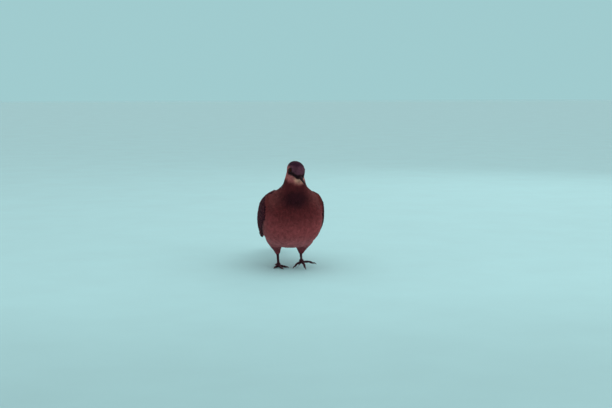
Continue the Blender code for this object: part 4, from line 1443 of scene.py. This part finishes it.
def makeEyes():
    material = makeEyeMaterial()
    lidMaterial = plainMaterial("eyelidSkin", 2200.0, lidBuild["colours"], (0.5, 0.7), 0.5, 0.12 * mm, 0.15)
    for word, side in sides.items():
        ball = newPiece("eyeball_" + word, bpy.ops.mesh.primitive_uv_sphere_add, segments=64, ring_count=48,
                        radius=1.0)
        local = unit(pointsOf(ball))
        angle = np.degrees(np.arccos(np.clip(local[:, 2], -1, 1)))
        proud = eyeBuild["cornea"] * (1 - smoothStep(angle, 0, eyeBuild["corneaReach"]))
        setPoints(ball, local * (eyeBuild["radius"] + proud)[:, None])
        addVectors(ball.data, "eyePlace", local)
        turn = gazeTurn(side)
        placed(ball, turn, middleOf("eye_" + word))
        dress(ball, material, "eye", "eye_" + word)
        makeLid(word, turn, lidMaterial)


makeEyes()
print("eyes and lids made")

billBuild = {
    "ring": 28,  # points round the bill
    # mm ahead of the eyes, height of the gape, half width, height above the gape, depth below it
    "stations": (
        (6.0, -4.4, 2.5, 2.8, 1.9), (12.0, -5.3, 2.5, 2.8, 1.9), (14.6, -5.75, 2.4, 2.85, 1.8),
        (16.8, -6.05, 2.25, 2.85, 1.7), (18.6, -6.3, 2.05, 2.6, 1.6), (20.2, -6.5, 1.7, 2.1, 1.5),
        (22.0, -6.75, 1.5, 1.75, 1.35), (24.2, -7.0, 1.45, 1.8, 1.25), (26.4, -7.35, 1.3, 1.8, 1.05),
        (28.3, -7.85, 0.95, 1.5, 0.75), (29.5, -8.3, 0.6, 1.0, 0.4), (30.25, -8.75, 0.2, 0.4, 0.1),
    ),
    "lowerShares": (0.9, 0.94),  # the lower half's breadth and depth
    "gape": 0.05 * mm,  # half the line between the closed mandibles
    "flat": 0.10,  # how round the two faces are where the mandibles meet
    "nostril": (1.75, 18.6, -5.2),  # mm right, ahead and up from between the eyes
    "nostrilLong": 1.7 * mm,
    "nostrilTall": 0.34 * mm,
    "nostrilSlant": 0.35,
    "nostrilDeep": 0.55 * mm,
    "baseColours": ((0.011, 0.005, 0.008), (0.022, 0.010, 0.015)),
    "hornColours": ((0.007, 0.004, 0.006), (0.014, 0.008, 0.010)),
    "hornReach": (20.5 * mm, 24.5 * mm),  # ahead of the eyes, where the base turns to horn
}


def makeBillMaterial():
    made, tree, shader = newMaterial("billHorn")
    place = objectPlace(tree)
    ahead = skullPlace(place)[1]
    fine = noise(place, 1800.0, 4.0, 0.6)
    base, horn = (blend(ramp(fine, 0.3, 0.7), *billBuild[key]) for key in ("baseColours", "hornColours"))
    feedAll(shader, Base_Color=blend(ramp(ahead, *billBuild["hornReach"]), base, horn),
            Roughness=ramp(ahead, 0.019, 0.026, 0.60, 0.40), Specular_IOR_Level=0.14)
    bump(shader, fine, 0.4, 0.1 * mm)
    return made


def makeMandible(title, upper):
    # a ring drawn out along the bill, in the head's own axes, and flattened where the two halves meet
    horn = newPiece(title, bpy.ops.mesh.primitive_circle_add, vertices=billBuild["ring"], radius=mm,
                    fill_type="NGON", rotation=(math.radians(90), 0, 0))
    bpy.ops.object.transform_apply(location=False, rotation=True, scale=False)
    before = (0.0, 0.0, 1.0, 1.0)
    wideShare, tallShare = (1, 1) if upper else billBuild["lowerShares"]
    with editing(horn):
        for ahead, gape, wide, above, below in billBuild["stations"]:
            wide, tall = wide * wideShare, (above if upper else below) * tallShare
            shift = (0, (ahead - before[0]) * mm, (gape - before[1]) * mm)
            if before[0]:
                bpy.ops.mesh.extrude_region_move(TRANSFORM_OT_translate={"value": shift})
            else:
                bpy.ops.transform.translate(value=shift)
            bpy.ops.transform.resize(value=(wide / before[2], 1, tall / before[3]),
                                     center_override=(0, ahead * mm, gape * mm))
            before = (ahead, gape, wide, tall)
    applyModifier(horn, "SUBSURF", levels=2, render_levels=2)
    places = pointsOf(horn)
    line = readOff(places[:, 1], [(station[0] * mm, station[1] * mm) for station in billBuild["stations"]])
    facing = 1 if upper else -1
    high = (places[:, 2] - line) * facing
    high = np.where(high < 0, high * billBuild["flat"], high) + billBuild["gape"]
    places[:, 2] = line + high * facing
    if upper:
        right, front, up = (number * mm for number in billBuild["nostril"])
        along = places[:, 1] - front
        tall = (places[:, 2] - up + along * billBuild["nostrilSlant"]) / billBuild["nostrilTall"]
        near = np.exp(-(along / billBuild["nostrilLong"]) ** 4 - tall ** 2)
        near = near * smoothStep(np.abs(places[:, 0]), 0.6 * mm, right)
        places[:, 0] -= np.sign(places[:, 0]) * near * billBuild["nostrilDeep"]
    setPoints(horn, places)
    with editing(horn):
        bpy.ops.mesh.normals_make_consistent(inside=False)
    placed(horn, headTurn, eyeMiddle)
    return horn


def makeBill():
    material = makeBillMaterial()
    for node, title in (("bill_upper", "upper_mandible"), ("bill_lower", "lower_mandible")):
        dress(makeMandible(title, node == "bill_upper"), material, "bill", node)


makeBill()
print("bill made")

legBuild = {
    "voxel": 0.3 * mm,
    "rounding": 5,
    "scutePitch": 1.75 * mm,
    "scuteRise": 0.2 * mm,
    "clawVoxel": 0.14 * mm,
    "clawRounding": 6,
    "runUp": 3.0 * mm,  # how far the shank goes on inside the thigh's feathers
    "padShare": 0.74,  # of the pad's packed width
    "toeRoot": 3.0 * mm,  # how far each toe runs on into the pad
    "clawRoot": 0.9 * mm,
    "skinColours": ((0.021, 0.003, 0.010), (0.044, 0.007, 0.017)),
    "grooveColour": (0.022, 0.006, 0.010),
    "clawColours": ((0.014, 0.009, 0.010), (0.040, 0.026, 0.026)),
}


def makeLegMaterial():
    made, tree, shader = newMaterial("scaledLeg")
    place = objectPlace(tree)
    cells = addNode(tree, "TexVoronoi", {"feature": "DISTANCE_TO_EDGE"}, Vector=place, Scale=1500.0)
    seam = ramp(cells.outputs["Distance"], 0.0, 0.12)
    fine = noise(place, 900.0, 4.0, 0.6)
    paint = blend(ramp(fine, 0.3, 0.7), *legBuild["skinColours"])
    paint = blend(times(attribute(tree, "groove", "Fac"), 0.75), paint, legBuild["grooveColour"])
    feedAll(shader, Base_Color=dimmed(paint, ramp(seam, 0.0, 1.0, 0.75, 1.0)),
            Roughness=ramp(fine, 0.2, 0.8, 0.42, 0.62), Specular_IOR_Level=0.2)
    bump(shader, plus(seam, times(fine, 0.4)), 0.35, 0.1 * mm)
    return made


def addScutes(piece, lines):
    # overlapping plates along each line from its start to its end, on the side that it faces
    places, outward = pointsOf(piece), pointsOf(piece, "normal")
    gaps, shares, facings = [], [], []
    for start, end, face in lines:
        line = np.array(end - start)
        reach = np.linalg.norm(line)
        far = (places - np.array(start)) @ line / reach
        nearest = np.array(start) + np.clip(far / reach, 0, 1)[:, None] * line
        gaps.append(np.linalg.norm(places - nearest, axis=1))
        shares.append((far / legBuild["scutePitch"]) % 1.0)
        facings.append(smoothStep(outward @ np.array(face.normalized()), -0.1, 0.5))
    own, every = np.argmin(gaps, axis=0), np.arange(len(places))
    share, facing = np.array(shares)[own, every], np.array(facings)[own, every]
    gaps = np.sort(gaps, axis=0)
    facing = facing * smoothStep(gaps[1] - gaps[0], 0.2 * mm, 1.0 * mm)  # none where toes meet
    profile = share ** 0.6 * (1 - smoothStep(share, 0.86, 1.0))
    places = places + outward * ((profile - 0.45) * legBuild["scuteRise"] * facing)[:, None]
    places[:, 2] = np.maximum(places[:, 2], 0.0)
    setPoints(piece, places)
    made = piece.data.attributes.new("groove", "FLOAT", "POINT")
    made.data.foreach_set("value", ((1 - smoothStep(share, 0.0, 0.16)) * facing).astype(np.float32))


def drawnOut(piece, start, way, slope, reach):
    # the end of the piece that lies furthest along the way is drawn on by the reach
    places = pointsOf(piece)
    along = (places - np.array(start)) @ way
    near = smoothStep(along, along.max() - slope[0], along.max() - slope[1])
    setPoints(piece, places + way * (near * reach)[:, None])


def makeFoot(word, material):
    # shank, pad and toes as one scaled skin, run up into the thigh's feathers
    node, toes = "shank_" + word, [f"toe_{word}_{name}" for name in toeNames]
    low, high = boxOf(node)
    packed = [Vector(point.co) for point in nodes[node].data.vertices]
    top = [point for point in packed if point.z > high.z - 0.5 * mm]
    base = [point for point in packed if point.z < low.z + 5 * mm]
    start, pad = (sum(points, Vector()) / len(points) for points in (top, base))
    shank = joined([node], "scaled_foot_" + word)
    places = pointsOf(shank)
    places[places[:, 2] > high.z - 0.5 * mm, 2] += legBuild["runUp"]
    onPad = smoothStep(places[:, 2], low.z + 7 * mm, low.z + 4 * mm)
    middle = np.array(pad[:2])
    places[:, :2] = middle + (places[:, :2] - middle) * (1 - (1 - legBuild["padShare"]) * onPad)[:, None]
    setPoints(shank, places)
    pieces, lines = [shank], [(start, pad, Vector((0, -1, 0.1)))]
    for name in toes:
        toe = joined([name], "toe")
        end = middleOf(name.replace("toe", "claw"))
        drawnOut(toe, end, np.array((pad - end).normalized()), (2.6 * mm, 0.6 * mm), legBuild["toeRoot"])
        pieces.append(toe)
        lines.append((pad, end, Vector((0, 0, 1))))
    pick(*pieces)
    bpy.ops.object.join()
    remeshed(shank, legBuild["voxel"], legBuild["rounding"])
    addScutes(shank, lines)
    dress(shank, material, "leg", node, *toes)


def makeLegs():
    legMaterial = makeLegMaterial()
    clawMaterial = plainMaterial("clawHorn", 1500.0, legBuild["clawColours"], (0.28, 0.45), 0.3, 0.06 * mm)
    for word in sides:
        makeFoot(word, legMaterial)
        for name in toeNames:
            claw = f"claw_{word}_{name}"
            nail = joined([claw], "horn_" + claw)
            root = np.array(middleOf(f"toe_{word}_{name}"))
            drawnOut(nail, root, unit(root - np.array(middleOf(claw))), (1.2 * mm, 0.0), legBuild["clawRoot"])
            remeshed(nail, legBuild["clawVoxel"], legBuild["clawRounding"])
            dress(nail, clawMaterial, "claw", claw)


makeLegs()
print("legs, toes and claws made")
bpy.data.objects.remove(outerForm, do_unlink=True)

stageBuild = {
    "floorSize": 24.0,
    "floorColour": (0.43, 0.88, 0.90),
    "floorShares": (0.95, 1.05),  # of that colour, from spot to spot
    "nearer": (-0.8, -0.15, 0.82, 1.0),  # painted shade on the floor, darker towards the camera: from and to in metres ahead, and how bright it is at each
    "sky": (1.0, 0.86, 0.87),
    "distance": (0.47, 0.80, 0.83),  # what is seen of it beyond the floor
    "skyStrength": 0.75,
    "lampColour": (1.0, 0.90, 0.90),
    # name, place, size in metres, watts
    "lights": (
        ("softTop", (0.2, -0.2, 1.7), 1.6, 3.0),
        ("softFront", (1.2, -1.5, 0.7), 1.2, 6.0),
        ("softRim", (0.9, 1.2, 0.9), 0.9, 2.0),
    ),
}


def makeStage():
    floor = newPiece("pale_floor", bpy.ops.mesh.primitive_plane_add, size=stageBuild["floorSize"])
    made, tree, shader = newMaterial("paleFloor")
    place = objectPlace(tree)
    paints = (tuple(channel * share for channel in stageBuild["floorColour"])
              for share in stageBuild["floorShares"])
    paint = blend(noise(place, 9.0, 5.0, 0.6), *paints)
    # the floor is painted darker towards the camera, as painted shade
    feedAll(shader, Base_Color=dimmed(paint, ramp(split(place)[1], *stageBuild["nearer"])), Roughness=0.85)
    floor.data.materials.append(made)
    world = bpy.data.worlds.new("softSky")
    bpy.context.scene.world = world
    world.use_nodes = True
    seen = addNode(world.node_tree, "LightPath").outputs["Is Camera Ray"]
    feedAll(world.node_tree.nodes["Background"],
            Color=blend(seen, stageBuild["sky"], stageBuild["distance"]), Strength=stageBuild["skyStrength"])
    for title, spot, size, watts in stageBuild["lights"]:
        lamp = bpy.data.lights.new(title, "AREA")
        lamp.energy, lamp.size, lamp.color = watts, size, stageBuild["lampColour"]
        holder = bpy.data.objects.new(title, lamp)
        bpy.context.scene.collection.objects.link(holder)
        holder.location = spot
        holder.rotation_euler = (middleOf("trunk") - Vector(spot)).to_track_quat("-Z", "Y").to_euler()


cameraBuild = {
    "spot": (-0.2421, -1.7347, 0.270),
    "pitch": 6.02,  # degrees down
    "swing": 9.0,  # degrees round from straight in front, to the bird's right
    "lens": 70.59,
}


def makeCamera():
    lens = bpy.data.cameras.new("viewCamera")
    lens.lens, lens.sensor_width = cameraBuild["lens"], 36.0
    lens.clip_start, lens.clip_end = 0.01, 100.0
    camera = bpy.data.objects.new("viewCamera", lens)
    bpy.context.scene.collection.objects.link(camera)
    camera.location = cameraBuild["spot"]
    camera.rotation_euler = (math.radians(90 - cameraBuild["pitch"]), 0, math.radians(-cameraBuild["swing"]))
    bpy.context.scene.camera = camera


makeStage()
makeCamera()
print("floor, lights and camera set")
bpy.context.scene.view_settings.view_transform = "Standard"

print("done")
